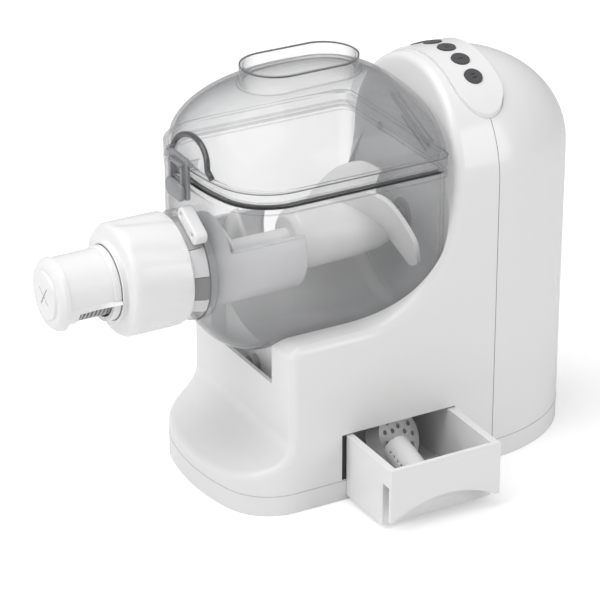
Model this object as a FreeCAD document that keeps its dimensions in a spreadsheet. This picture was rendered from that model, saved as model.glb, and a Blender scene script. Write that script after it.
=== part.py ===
# Electric pasta maker: a white housing on a wide foot, a clear bowl with its lid lying in a cradle,
# an extruding nose with a locking ring, and a drawer for the shaping discs.
# Millimetres. X to the drawer side, -Y to the nose, +Z up. The origin is on the table, below the
# middle of the body.
import FreeCAD
import Part
import math
import os
import re

Vector = FreeCAD.Vector
Rotation = FreeCAD.Rotation
Placement = FreeCAD.Placement

os.makedirs("parts", exist_ok=True)
doc = FreeCAD.newDocument("pasta_maker")
sheet = doc.addObject("Spreadsheet::Sheet", "Sizes")

SIZES = {
    # body
    "body_width": 147.0,
    "front_reach": 146.0,
    "rear_reach": 151.5,
    "arch_height": 291.5,
    "seam_back": 60.0,
    "tower_front": 26.5,
    "tower_lean": 6.5,
    "wall": 3.0,
    "rubber_foot": 1.5,
    "floor_thickness": 2.0,
    "band_height": 15.5,
    "edge_round": 6.0,
    "foot_corner": 40.0,
    "foot_bow": 170.0,
    "skirt_height": 26.0,
    "instep_height": 37.0,
    "instep_reach": 118.0,
    "instep_curve": 20.0,
    "column_reach": 105.0,
    "cradle_height": 127.0,
    "shoulder_round": 9.0,
    "cradle_sweep_back": 50.0,
    "cradle_sweep_top": 222.0,
    "notch_width": 90.0,
    "notch_floor": 90.0,
    "tower_skin": 9.5,
    # bowl and lid
    "nose_height": 173.4,
    "bowl_radius": 70.0,
    "bowl_wall": 2.5,
    "bowl_front": 143.5,
    "bowl_back": 22.0,
    "bowl_front_round": 42.0,
    "bowl_back_round": 10.0,
    "rim_width": 145.8,
    "rim_front": 146.2,
    "rim_height": 234.0,
    "rim_thickness": 4.0,
    "gasket_height": 3.5,
    "lid_band": 8.0,
    "lid_wall": 2.2,
    "lid_crown": 302.0,
    "crown_back": 60.0,
    "funnel_top": 307.5,
    "funnel_radius": 24.8,
    "funnel_wall": 2.5,
    "funnel_front": 77.0,
    "funnel_back": 39.0,
    # latch
    "latch_width": 27.4,
    "latch_pin_radius": 1.5,
    "latch_pin_height": 253.5,
    "latch_pin_reach": 150.5,
    "latch_plate": 3.0,
    "latch_drop": 29.5,
    # nose
    "flange_radius": 39.0,
    "flange_reach": 152.0,
    "neck_radius": 36.0,
    "neck_reach": 166.0,
    "barrel_radius": 33.2,
    "barrel_wall": 2.4,
    "barrel_reach": 193.0,
    "barrel_back": 70.0,
    "ring_radius": 40.0,
    "ring_back": 160.0,
    "ring_reach": 205.0,
    "collar_radius": 28.8,
    "collar_reach": 209.0,
    "die_radius": 35.0,
    "die_thickness": 5.0,
    "hood_radius": 25.2,
    "hood_wall": 2.5,
    "hood_reach": 238.0,
    "cap_radius": 26.0,
    "cap_reach": 253.0,
    "cap_face_radius": 17.0,
    # drive
    "auger_core": 9.0,
    "auger_gap": 0.9,
    "auger_pitch": 34.0,
    "flight_thickness": 4.0,
    "hub_radius": 14.0,
    "paddle_reach": 64.0,
    "paddle_thickness": 6.0,
    "shaft_radius": 7.0,
    "hex_flats": 12.0,
    "output_teeth": 62,
    "small_teeth": 14,
    "big_teeth": 60,
    "pinion_teeth": 12,
    "slow_module": 1.5,
    "fast_module": 1.0,
    "pin_radius": 4.0,
    "motor_radius": 32.0,
    "motor_length": 62.0,
    "rotor_shaft": 3.0,
    # control panel
    "panel_width": 36.0,
    "panel_span": 118.6,
    "panel_proud": 1.8,
    "button_radius": 6.5,
    "button_pitch": 14.3,
    "button_count": 5,
    "button_travel": 1.5,
    # drawer
    "drawer_front": 61.0,
    "drawer_back": 27.5,
    "drawer_top": 51.6,
    "drawer_depth": 120.0,
    "drawer_open": 61.5,
    "drawer_wall": 5.5,
    "drawer_face": 3.0,
    "finger_gap": 8.5,
    "finger_gap_top": 37.0,
    "scoop_depth": 12.0,
    # clearances
    "fit_gap": 0.3,
    "shaft_gap": 0.05,
    "mould_gap": 0.3,
}

for row, (alias, value) in enumerate(SIZES.items(), start=1):
    sheet.set(f"A{row}", alias)
    sheet.set(f"B{row}", str(value))
    sheet.setAlias(f"B{row}", alias)
doc.recompute()

WORD = re.compile(r"\b(" + "|".join(sorted(SIZES, key=len, reverse=True)) + r")\b")
pieces = []


def size(alias):
    return float(sheet.get(alias))


def bound(expression):
    """An expression in the sheet's words, as a document expression."""
    return WORD.sub(r"<<Sizes>>.\1", str(expression))


def value_of(expression):
    """The number an expression in the sheet's words has now."""
    holder = doc.addObject("App::FeaturePython", "probe")
    holder.addProperty("App::PropertyFloat", "number")
    holder.setExpression("number", bound(expression))
    holder.recompute()
    number = holder.number
    doc.removeObject(holder.Name)
    return number


def primitive(kind, name, at=(0, 0, 0), axis="Z", **sizes):
    """A Part primitive whose sizes and place are bound to the sheet."""
    thing = doc.addObject("Part::" + kind, name)
    turns = {"Z": Rotation(), "Y": Rotation(Vector(1, 0, 0), -90), "X": Rotation(Vector(0, 1, 0), 90)}
    thing.Placement = Placement(Vector(), turns[axis])
    for prop, expression in sizes.items():
        thing.setExpression(prop, bound(expression))
    for letter, expression in zip("xyz", at):
        thing.setExpression("Placement.Base." + letter, bound(expression))
    return thing


def box(name, low, high):
    spans = [f"({b})-({a})" for a, b in zip(low, high)]
    return primitive("Box", name, at=low, Length=spans[0], Width=spans[1], Height=spans[2])


def cylinder(name, radius, at, length, axis="Z"):
    return primitive("Cylinder", name, at=at, axis=axis, Radius=radius, Height=length)


def nose_cylinder(name, radius, front, back):
    """A cylinder about the nose axis, from y = front to y = back."""
    return cylinder(name, radius, (0, front, "nose_height"), f"({back})-({front})", axis="Y")


def cut(name, base, *tools):
    thing = doc.addObject("Part::Cut", name)
    thing.Base = base
    thing.Tool = tools[0] if len(tools) == 1 else fuse(name + "_tools", *tools)
    return thing


def fuse(name, *things):
    whole = doc.addObject("Part::MultiFuse", name)
    whole.Shapes = list(things)
    return whole


def common(name, *things):
    whole = doc.addObject("Part::MultiCommon", name)
    whole.Shapes = list(things)
    return whole


def rounded(name, base, radius, wanted):
    """A Part fillet of every edge of base for which wanted(edge) holds."""
    doc.recompute()
    thing = doc.addObject("Part::Fillet", name)
    thing.Base = base
    number = value_of(radius)
    found = [i for i, edge in enumerate(base.Shape.Edges, start=1) if wanted(edge)]
    if not found:
        raise RuntimeError(name + " finds no edge to round")
    thing.Edges = [(i, number, number) for i in found]
    return thing


def middle(edge):
    return edge.valueAt((edge.FirstParameter + edge.LastParameter) / 2)


def line(a, b):
    return Part.LineSegment(Vector(*a, 0), Vector(*b, 0))


def arc(centre, radius, start, end):
    """A counter-clockwise arc between two angles in degrees."""
    circle = Part.Circle(Vector(*centre, 0), Vector(0, 0, 1), radius)
    return Part.ArcOfCircle(circle, math.radians(start), math.radians(end))


def polygon(corners, radii=0.0):
    """A closed outline of straight runs, each corner rounded by its own radius."""
    count = len(corners)
    if not isinstance(radii, (list, tuple)):
        radii = [radii] * count
    points = [Vector(*c, 0) for c in corners]
    runs = []
    arcs = []
    for i, radius in enumerate(radii):
        here = points[i]
        back = (points[i - 1] - here).normalize()
        ahead = (points[(i + 1) % count] - here).normalize()
        if radius <= 0:
            runs.append((here, here))
            continue
        half = back.getAngle(ahead) / 2
        reach = radius / math.tan(half)
        inner = (back + ahead).normalize()
        centre = here + inner * (radius / math.sin(half))
        runs.append((here + back * reach, here + ahead * reach))
        arcs.append(Part.Arc(runs[-1][0], centre - inner * radius, runs[-1][1]))
    lines = []
    for i in range(count):
        a, b = runs[i][1], runs[(i + 1) % count][0]
        if a.distanceToPoint(b) > 1e-6:
            lines.append(Part.LineSegment(a, b))
    return lines + arcs


def plan_outline(half, front, corner, bow, back, back_corner=0.0):
    """A plan: straight sides, a bowed front with round corners, and a straight back."""
    bow_middle = bow - front
    middle_y = bow_middle - math.sqrt((bow - corner) ** 2 - (half - corner) ** 2)
    lean = math.degrees(math.atan2(middle_y - bow_middle, half - corner))
    lines = [
        line((half, back - back_corner), (half, middle_y)),
        line((-half, middle_y), (-half, back - back_corner)),
        line((-half + back_corner, back), (half - back_corner, back)),
    ]
    arcs = [
        arc((half - corner, middle_y), corner, lean, 0),
        arc((0, bow_middle), bow, -180 - lean, lean),
        arc((corner - half, middle_y), corner, 180, 180 - lean),
    ]
    if back_corner > 0:
        inner = back - back_corner
        arcs.append(arc((half - back_corner, inner), back_corner, 0, 90))
        arcs.append(arc((back_corner - half, inner), back_corner, 90, 180))
    return lines + arcs


def body(name):
    return doc.addObject("PartDesign::Body", name)


PLANES = {"XY": (1, False), "XZ": (-1, True), "YZ": (1, False)}


def sketch_on(owner, name, plane, outline, start):
    """A sketch of owner, parallel to one of its origin planes and moved to start."""
    sketch = owner.newObject("Sketcher::SketchObject", name)
    flat = next(f for f in owner.Origin.OriginFeatures if f.Role == plane + "_Plane")
    sketch.AttachmentSupport = [(flat, "")]
    sketch.MapMode = "FlatFace"
    sign = PLANES[plane][0]
    sketch.setExpression("AttachmentOffset.Base.z", bound(f"{sign} * ({start})"))
    sketch.addGeometry(outline, False)
    return sketch


def padded(name, plane, outline, start, end):
    """A body with one pad of outline, between two places on the plane's normal."""
    owner = body(name)
    sketch = sketch_on(owner, name + "_outline", plane, outline, start)
    pad = owner.newObject("PartDesign::Pad", name + "_pad")
    pad.Profile = sketch
    pad.setExpression("Length", bound(f"({end})-({start})"))
    pad.Reversed = PLANES[plane][1]
    owner.Tip = pad
    return owner


def revolved(name, outline, height="nose_height"):
    """A body turned about an axis along Y; outline has (y, radius) points."""
    owner = body(name)
    sketch = sketch_on(owner, name + "_outline", "YZ", outline, 0)
    turn = owner.newObject("PartDesign::Revolution", name + "_turn")
    turn.Profile = sketch
    turn.ReferenceAxis = (sketch, ["H_Axis"])
    turn.Angle = 360
    owner.Tip = turn
    owner.setExpression("Placement.Base.z", bound(height))
    return owner


def solid(name, shape):
    """A feature whose shape is worked out here from the sheet's sizes."""
    thing = doc.addObject("Part::Feature", name)
    thing.Shape = shape
    return thing


def moved(thing, base=(0, 0, 0), axis=(0, 0, 1), angle=0, centre=(0, 0, 0)):
    thing.Placement = Placement(Vector(*base), Rotation(Vector(*axis), angle), Vector(*centre))
    return thing


def node(thing, label):
    """Marks a finished sub-part and gives it its own label."""
    thing.Label = label
    pieces.append(thing)
    return thing


HALF = size("body_width") / 2
NOSE = size("nose_height")
ARCH_AXIS = size("arch_height") - HALF
SEAM = size("seam_back")


# Body: outer forms shared by the housing, the rear cover and the base

def arch_outline(half, low, axis):
    """A round-topped gate in the XZ plane."""
    sides = [
        line((-half, axis), (-half, low)),
        line((-half, low), (half, low)),
        line((half, low), (half, axis)),
    ]
    return sides + [arc((0, axis), half, 0, 180)]


def side_profile(low):
    """The housing from the side: foot, instep, column, cradle sweep and tower, as (y, z)."""
    front = -size("front_reach")
    skirt = size("skirt_height")
    column = -size("column_reach")
    cradle = size("cradle_height")
    sweep_y = -size("cradle_sweep_back")
    sweep_z = size("cradle_sweep_top")
    tower = size("tower_front")
    lean = size("tower_lean")
    top = size("arch_height")
    instep = Vector(-size("instep_reach"), size("instep_height"), 0)
    curve = size("instep_curve")
    shoulder = size("shoulder_round")
    # the instep runs down to the skirt, and turns up into the column by a hollow curve
    foot_top = Vector(front, skirt, 0)
    slope = (instep - foot_top).normalize()
    normal = Vector(-slope.y, slope.x, 0)
    hollow_y = column - curve
    along = (hollow_y - foot_top.x - normal.x * curve) / slope.x
    hollow = foot_top + slope * along + normal * curve
    touch = hollow - normal * curve
    start = math.degrees(math.atan2(-normal.y, -normal.x))
    rise = top - sweep_z
    bend = (rise ** 2 + lean ** 2) / (2 * lean)
    bend_end = math.degrees(math.asin(rise / bend))
    ellipse = Part.Ellipse(
        Vector(sweep_y, cradle, 0), Vector(tower, sweep_z, 0), Vector(sweep_y, sweep_z, 0)
    )
    quarter = Part.ArcOfEllipse(ellipse, 0, math.pi / 2)
    return [
        line((SEAM, low), (front, low)),
        line((front, low), (front, skirt)),
        line((front, skirt), (touch.x, touch.y)),
        arc((hollow.x, hollow.y), curve, start, 0),
        line((column, hollow.y), (column, cradle - shoulder)),
        arc((column + shoulder, cradle - shoulder), shoulder, 90, 180),
        line((column + shoulder, cradle), (sweep_y, cradle)),
        quarter,
        arc((tower + bend, sweep_z), bend, 180 - bend_end, 180),
        line((tower + lean, top), (SEAM, top)),
        line((SEAM, top), (SEAM, low)),
    ]


def rear_dome(name, inset):
    """The rear cover's outer form: half an upright elliptic column below half an ellipsoid."""
    half = f"(body_width / 2 - {inset})"
    reach = f"(rear_reach - seam_back - {inset})"
    column = primitive("Cylinder", name + "_round", Radius=half, Height="arch_height - body_width / 2")
    top = primitive("Sphere", name + "_ball", at=(0, 0, "arch_height - body_width / 2"), Radius=half)
    column.recompute()
    top.recompute()
    stretch = FreeCAD.Matrix()
    stretch.A22 = value_of(f"{reach} / {half}")
    stretch.A24 = SEAM
    shape = column.Shape.fuse(top.Shape).removeSplitter().transformGeometry(stretch)
    return solid(name, shape)


def side_box(name, low, high, side):
    """A box given for the right side, put on the right (1) or mirrored to the left (-1)."""
    if side > 0:
        return box(name, low, high)
    return box(name, (f"-({high[0]})", low[1], low[2]), (f"-({low[0]})", high[1], high[2]))


PLATE = size("rubber_foot")
BAND = size("band_height")

# Front housing: one white moulding with the foot, the column, the cradle and the tower's front
outer_side = padded("housing_side", "YZ", side_profile(BAND), "-body_width / 2", "body_width / 2")
plan = plan_outline(HALF, size("front_reach"), size("foot_corner"), size("foot_bow"), SEAM)
outer_plan = padded("housing_plan", "XY", plan, 0, "arch_height + 1")
outer_arch = padded(
    "housing_arch", "XZ", arch_outline(HALF, 0, ARCH_AXIS), "-front_reach - 1", "seam_back"
)
housing_block = common("housing_block", outer_side, outer_plan, outer_arch)


def on_flank(edge):
    """The flank's outer edge, from the instep over the cradle and round the tower's arch."""
    p = middle(edge)
    half = size("body_width") / 2
    on_side = abs(abs(p.x) - half) < 0.05 and BAND + 1 < p.z < ARCH_AXIS + 0.1
    on_arch = p.z > ARCH_AXIS and abs(math.hypot(p.x, p.z - ARCH_AXIS) - half) < 0.05
    straight_side = abs(edge.Vertexes[0].X - edge.Vertexes[-1].X) < 0.01
    skirt = p.z < size("skirt_height") + 3
    return (on_side and straight_side or on_arch) and p.y < SEAM - 1 and not skirt


housing_rounded = rounded("housing_rounded", housing_block, "edge_round", on_flank)
trough = nose_cylinder("cradle_trough", "bowl_radius + fit_gap", "-front_reach", "tower_front")
notch = box(
    "front_notch",
    ("-notch_width / 2", "-front_reach", "notch_floor"),
    ("notch_width / 2", "-column_reach + 12", "nose_height"),
)
button_pocket = box(
    "button_pocket",
    ("-notch_width / 2", "-column_reach + wall", "notch_floor - 14"),
    ("notch_width / 2", "-column_reach + 12", "notch_floor + 1"),
)
column_hollow = box(
    "column_hollow",
    ("-body_width / 2 + wall", "-column_reach + 12 + wall", 0),
    ("body_width / 2 - wall", "tower_front + tower_skin", "notch_floor - 6"),
)
foot_room = plan_outline(
    HALF - 9,
    size("front_reach") - 9,
    size("foot_corner") - 9,
    size("foot_bow") - 9,
    16 - size("column_reach"),
)
foot_hollow = padded("foot_hollow", "XY", foot_room, 0, "skirt_height - wall - 1")
tower_hollow = padded(
    "tower_hollow",
    "XZ",
    arch_outline(HALF - size("wall"), 0, ARCH_AXIS),
    "tower_front + tower_skin",
    "seam_back + 1",
)
seal_seat = nose_cylinder("seal_seat", "shaft_radius + 5", "tower_front - 1", "tower_front + 4")
bush_seat = nose_cylinder("bush_seat", "shaft_radius + 3", "tower_front", "tower_front + tower_skin + 1")
drawer_slot = box(
    "drawer_slot",
    (0, "-drawer_front - mould_gap", 0),
    ("body_width", "drawer_back + mould_gap", "drawer_top + mould_gap"),
)
release_bore = cylinder(
    "release_bore", 6 + size("fit_gap"), (0, "-column_reach + 11", "notch_floor - 6"), 10, axis="Y"
)


def stadium(half_length, radius, centre_y=0.0, turned=False):
    """A plan slot, long in X, or in Y when turned."""
    if turned:
        return [
            line((radius, centre_y - half_length), (radius, centre_y + half_length)),
            line((-radius, centre_y + half_length), (-radius, centre_y - half_length)),
            arc((0, centre_y + half_length), radius, 0, 180),
            arc((0, centre_y - half_length), radius, 180, 360),
        ]
    return [
        line((-half_length, centre_y - radius), (half_length, centre_y - radius)),
        line((half_length, centre_y + radius), (-half_length, centre_y + radius)),
        arc((half_length, centre_y), radius, -90, 90),
        arc((-half_length, centre_y), radius, 90, 270),
    ]


PANEL_HALF = size("panel_span") / 2 - size("panel_width") / 2
PANEL_RADIUS = size("panel_width") / 2
GAP = size("mould_gap")


def panel_opening(name):
    outline = stadium(PANEL_HALF, PANEL_RADIUS + GAP, SEAM)
    return padded(name, "XY", outline, "arch_height - body_width / 2", "arch_height + 10")


housing_cuts = [
    trough, notch, button_pocket, column_hollow, foot_hollow, tower_hollow, seal_seat, bush_seat,
    drawer_slot, release_bore, panel_opening("panel_opening_front"),
]
housing_shell = cut("housing_shell", housing_rounded, *housing_cuts)
pillars = []
pillar_bores = []
for side in (1, -1):
    for front in ("-column_reach + 20", "tower_front + tower_skin + 2"):
        bore_at = (f"{side} * (body_width / 2 - wall - 5.5)", f"{front} + 5.5", "band_height - 1")
        pillar_bores.append(cylinder("pillar_bore", 2, bore_at, 17))
        low = ("body_width / 2 - wall - 11", front, "band_height")
        high = ("body_width / 2 - wall + 1", f"{front} + 11", "band_height + 20")
        pillars.append(side_box("housing_pillar", low, high, side))
housing_all = fuse("housing_all", housing_shell, *pillars)
node(cut("front_housing", housing_all, *pillar_bores), "front_housing")

# Rear cover: the domed back shell, with air slots and the hole for the power inlet
cover_outer = rear_dome("cover_outer", 0)
cover_inner = rear_dome("cover_inner", size("wall"))
front_half = box("cover_front_half", (-200, -200, -1), (200, "seam_back", 400))
below_band = box("below_band", (-200, -200, -1), (200, 400, "band_height"))
slots = []
for i in range(6):
    low = (-18, "rear_reach - 20", f"band_height + 45 + {i} * 8")
    high = (18, "rear_reach + 1", f"band_height + 48.5 + {i} * 8")
    slots.append(box("air_slot", low, high))
inlet_hole = cylinder("inlet_hole", 8, (0, "rear_reach - 20", "band_height + 22"), 30, axis="Y")
cover_cuts = [cover_inner, front_half, below_band, inlet_hole, panel_opening("panel_opening_back")]
node(cut("rear_cover", cover_outer, *cover_cuts, *slots), "rear_cover")

# Base plate: a shallow tray that closes the body from below, open at the drawer
base_front = plan_outline(HALF, size("front_reach"), size("foot_corner"), size("foot_bow"), SEAM)
base_front_block = padded("base_front", "XY", base_front, 0, "band_height")
base_slab = box("base_slab", (-200, 0, 0), (200, 400, "band_height"))
base_back_block = cut(
    "base_back",
    common("base_back_round", rear_dome("base_round", 0), base_slab),
    box("base_back_front", (-200, -200, 0), (200, "seam_back", 100)),
)
inner_half = HALF - size("wall")
tray = plan_outline(
    inner_half, size("front_reach") - size("wall"), size("foot_corner") - size("wall"), size("foot_bow"), SEAM
)
tray_front = padded("tray_front", "XY", tray, "rubber_foot + floor_thickness", "band_height + 1")
tray_back = cut(
    "tray_back",
    common(
        "tray_back_round",
        rear_dome("tray_round", size("wall")),
        box("tray_slab", (-200, 0, "rubber_foot + floor_thickness"), (200, 400, "band_height + 1")),
    ),
    box("tray_back_front", (-200, -200, 0), (200, "seam_back - 0.01", 100)),
)
drawer_mouth = box(
    "drawer_mouth",
    ("body_width / 2 - wall - 1", "-drawer_front - mould_gap", "rubber_foot + floor_thickness"),
    ("body_width", "drawer_back + mould_gap", "band_height + 1"),
)
base_shell = cut(
    "base_shell", fuse("base_block", base_front_block, base_back_block), tray_front, tray_back, drawer_mouth
)
SCREWS = []
for side in (1, -1):
    for place in ("-column_reach + 25.5", "tower_front + tower_skin + 7.5"):
        SCREWS.append((f"{side} * (body_width / 2 - wall - 5.5)", place))
posts = []
bores = []
screws = []
for x, y in SCREWS:
    posts.append(cylinder("base_post", 5.2, (x, y, "rubber_foot"), "band_height - rubber_foot"))
    bores.append(cylinder("screw_bore", 2, (x, y, 0), "band_height + 1"))
    bores.append(cylinder("screw_sink", 4, (x, y, 0), "rubber_foot + 3"))
    head = cylinder("screw_head", 3.7, (x, y, "rubber_foot + 0.6"), 2.4)
    screws.append(fuse("base_screw", head, cylinder("screw_shank", 1.9, (x, y, "rubber_foot + 1"), 16)))
board_posts = []
for x in (-46, 26):
    for y in (72, 112):
        board_posts.append(cylinder("board_post", 3, (x, y, "rubber_foot"), "floor_thickness + 5.5"))
FEET = []
for x, y in ((1, -112), (-1, -112), (1, 100), (-1, 100)):
    FEET.append((f"{x} * (body_width / 2 - 32)", y, 0))
pads = [cylinder("foot_pocket", "9 + fit_gap / 2", at, "rubber_foot") for at in FEET]
node(cut("base_plate", fuse("base_all", base_shell, *posts, *board_posts), *bores, *pads), "base_plate")
node(fuse("base_screws", *screws), "base_screws")
for i, at in enumerate(FEET, start=1):
    node(cylinder(f"rubber_foot_{i}", 9, at, "rubber_foot"), f"rubber_foot_{i}")

# Control panel: a raised white lozenge across the seam on top, with a row of round buttons
def shell_band(name, low, high):
    outer = cylinder(name + "_out", high, (0, 0, "arch_height - body_width / 2"), 200, axis="Y")
    inner = cylinder(name + "_in", low, (0, -1, "arch_height - body_width / 2"), 202, axis="Y")
    return cut(name, outer, inner)


panel_outline = stadium(PANEL_HALF, PANEL_RADIUS, SEAM)
panel_prism = padded(
    "panel_prism", "XY", panel_outline, "arch_height - body_width / 2", "arch_height + 10"
)
panel_shell = shell_band("panel_shell", "body_width / 2 - wall", "body_width / 2 + panel_proud")
panel_slab = common("panel_slab", panel_shell, panel_prism)


def at_arch(thing, angle, radius):
    """Turns a piece made upright about Z so that it stands on the arch at an angle."""
    tilt = Rotation(Vector(0, 1, 0), angle)
    middle_point = Vector(0, SEAM, ARCH_AXIS)
    thing.Placement = Placement(middle_point + tilt.multVec(Vector(0, 0, radius)), tilt)
    return thing


def upright(name, radius, length):
    thing = doc.addObject("Part::Cylinder", name)
    thing.setExpression("Radius", bound(radius))
    thing.setExpression("Height", bound(length))
    return thing


COUNT = int(size("button_count"))
ANGLES = [(i - (COUNT - 1) / 2) * size("button_pitch") for i in range(COUNT)]
OUTSIDE = HALF + size("panel_proud")
BOARD_TOP = HALF - 12.0
BUTTON_LOW = BOARD_TOP + 1.2 + size("button_travel") + 0.2
BUTTON_LENGTH = OUTSIDE + 0.8 - BUTTON_LOW
holes = [at_arch(upright("button_hole", "button_radius + fit_gap", 30), a, HALF - 15) for a in ANGLES]
panel_posts = [
    at_arch(upright("panel_post", 2.5, HALF - size("wall") - BOARD_TOP + 1), a, BOARD_TOP)
    for a in (-ANGLES[-1] - 10, ANGLES[-1] + 10)
]
node(fuse("control_panel", cut("panel_holed", panel_slab, *holes), *panel_posts), "control_panel")
for i, angle in enumerate(ANGLES, start=1):
    cap = at_arch(upright(f"button_{i}", "button_radius", BUTTON_LENGTH), angle, BUTTON_LOW)
    node(cap, f"button_{i}")
switches = []
for angle in ANGLES:
    switches.append(at_arch(upright("switch", 3, 1.2), angle, BOARD_TOP))
node(fuse("tact_switches", *switches), "tact_switches")
board_arc = ANGLES[-1] + 14
board = shell_band("board_shell", BOARD_TOP - 1.6, str(BOARD_TOP))
wedge_half = 90 * math.tan(math.radians(board_arc))
wedge = polygon([(0, ARCH_AXIS), (wedge_half, ARCH_AXIS + 90), (-wedge_half, ARCH_AXIS + 90)])
board_cut = padded("board_wedge", "XZ", wedge, "seam_back - 8", "seam_back + 8")
node(common("control_board", board, board_cut), "control_board")

# Drawer for the shaping discs: a box on the base tray, with a scooped face
FLOOR = PLATE + size("floor_thickness")
drawer_x = f"(body_width / 2 + drawer_open)"
drawer_body = box(
    "drawer_block",
    (f"{drawer_x} - drawer_depth", "-drawer_front", FLOOR + GAP),
    (f"{drawer_x} - drawer_face + 0.5", "drawer_back", "drawer_top - 1"),
)
drawer_inside = (
    box(
        "drawer_room",
        (f"{drawer_x} - drawer_depth + drawer_wall", "-drawer_front + drawer_wall", FLOOR + GAP + 3),
        (f"{drawer_x} - drawer_face - finger_gap - 3", "drawer_back - drawer_wall", "drawer_top + 1"),
    ),
    box(
        "drawer_room_top",
        (f"{drawer_x} - 40", "-drawer_front + drawer_wall", "finger_gap_top + 3"),
        (f"{drawer_x} - drawer_face", "drawer_back - drawer_wall", "drawer_top + 1"),
    ),
)
finger_gap = box(
    "finger_gap",
    (f"{drawer_x} - drawer_face - finger_gap", "-drawer_front - 1", 0),
    (f"{drawer_x}", "drawer_back + 1", "finger_gap_top"),
)
face_low = FLOOR + 7.4
left = -size("drawer_front")
right = size("drawer_back")
scoop = size("scoop_depth")
scoop_start = left + 2.5
scoop_end = right - 3.5
scoop_half = (scoop_end - scoop_start) / 2
scoop_mid = (scoop_end + scoop_start) / 2
scoop_radius = (scoop_half ** 2 + scoop ** 2) / (2 * scoop)
scoop_angle = math.degrees(math.asin(scoop_half / scoop_radius))
top = size("drawer_top")
face = [
    line((left, top), (left, face_low)),
    line((left, face_low), (scoop_start, face_low)),
    arc((scoop_mid, face_low + scoop - scoop_radius), scoop_radius, 90 - scoop_angle, 90 + scoop_angle),
    line((scoop_end, face_low), (right, face_low)),
    line((right, face_low), (right, top)),
    line((right, top), (left, top)),
]
drawer_face = padded("drawer_face", "YZ", face, f"{drawer_x} - drawer_face", drawer_x)
drawer_tub = cut("drawer_tub", drawer_body, *drawer_inside, finger_gap)
node(fuse("drawer", drawer_tub, drawer_face), "drawer")


def shaping_disc(name, radius, thickness, rings, hole):
    """A disc with a ring wall round its back and holes in circles."""
    plate = Part.makeCylinder(radius, thickness)
    plate = plate.cut(Part.makeCylinder(radius - 2.6, thickness - 3))
    for ring_radius, count in rings:
        for i in range(count):
            turn = 2 * math.pi * i / count
            at = Vector(ring_radius * math.cos(turn), ring_radius * math.sin(turn), -1)
            plate = plate.cut(Part.makeCylinder(hole, thickness + 2, at))
    return solid(name, plate)


ROOM_FLOOR = FLOOR + GAP + 3
DRAWER_X = HALF + size("drawer_open")
disc_a = shaping_disc("stored_disc_1", 20.0, 14.0, ((7.0, 6), (14.0, 11)), 1.9)
lean = Rotation(Vector(0, 0, 1), Vector(0.8, 0.33, 0.5))
disc_a.Placement = Placement(Vector(DRAWER_X - 75, -10, 31.3) - lean.multVec(Vector(0, 0, 14)), lean)
node(disc_a, "stored_disc_1")
tube = Part.makeCylinder(9.8, 34).cut(Part.makeCylinder(7.8, 32, Vector(0, 0, -1)))
for i in range(5):
    slit = Part.makeBox(24, 1.6, 2.2, Vector(-12, -0.8, 6 + 5 * i))
    slit.rotate(Vector(), Vector(0, 0, 1), 70)
    tube = tube.cut(slit)
disc_b = solid("stored_disc_2", tube)
lean = Rotation(Vector(0, 0, 1), Vector(0.97, 0, -0.243))
disc_b.Placement = Placement(Vector(DRAWER_X - 61.5, -20.5, 31.3), lean)
node(disc_b, "stored_disc_2")
disc_c = shaping_disc("stored_disc_3", 13.5, 18.0, ((8.0, 8),), 1.6)
moved(disc_c, (DRAWER_X - 29.5, 6.5, ROOM_FLOOR + 0.3))
node(disc_c, "stored_disc_3")

# Bowl: a clear trough with its neck, lying in the cradle
def trough_form(name, radius, front, back, top, front_round, back_round):
    """A U-shaped block about the nose axis, its front and back edges rounded along the U."""
    number = value_of(radius)
    height = value_of(top)
    outline = [
        line((number, NOSE), (number, height)),
        line((number, height), (-number, height)),
        line((-number, height), (-number, NOSE)),
        arc((0, NOSE), number, 180, 360),
    ]
    block = padded(name + "_block", "XZ", outline, front, back)
    doc.recompute()
    front_y = value_of(front)
    back_y = value_of(back)

    def wanted(place):
        return lambda e: abs(middle(e).y - place) < 0.01 and abs(e.Vertexes[0].Y - place) < 0.01 and (
            middle(e).z < height - 0.1
        ) and abs(e.Vertexes[-1].Y - place) < 0.01

    soft = rounded(name + "_front", block, front_round, wanted(front_y))
    return rounded(name, soft, back_round, wanted(back_y))


bowl_out = trough_form(
    "bowl_out", "bowl_radius", "-bowl_front", "bowl_back", "rim_height - rim_thickness", "bowl_front_round",
    "bowl_back_round",
)
bowl_in = trough_form(
    "bowl_in", "bowl_radius - bowl_wall", "-bowl_front + bowl_wall", "bowl_back - bowl_wall", "rim_height + 2",
    "bowl_front_round - bowl_wall", "bowl_back_round - bowl_wall",
)
RIM_HALF = size("rim_width") / 2


def rim_plan(inset):
    return plan_outline(
        RIM_HALF - inset, size("rim_front") - inset, size("foot_corner") - inset, size("foot_bow"),
        size("bowl_back") - inset, size("bowl_back_round") - min(inset, 6),
    )


rim = padded("bowl_rim", "XY", rim_plan(0), "rim_height - rim_thickness", "rim_height")
flange = nose_cylinder("neck_flange", "flange_radius", "-flange_reach", "-bowl_front + bowl_wall / 2")
neck = nose_cylinder("neck", "neck_radius", "-neck_reach", "-bowl_front + bowl_wall / 2")
bowl_block = cut("bowl_shell", fuse("bowl_body", bowl_out, rim, flange, neck), bowl_in)
neck_bore = nose_cylinder("neck_bore", "barrel_radius + fit_gap", "-neck_reach - 1", "-bowl_front + 30")
back_bore = nose_cylinder("back_bore", "shaft_radius + 2.5", "bowl_back - bowl_wall - 1", "bowl_back + 1")
node(cut("bowl", bowl_block, neck_bore, back_bore), "bowl")

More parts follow.
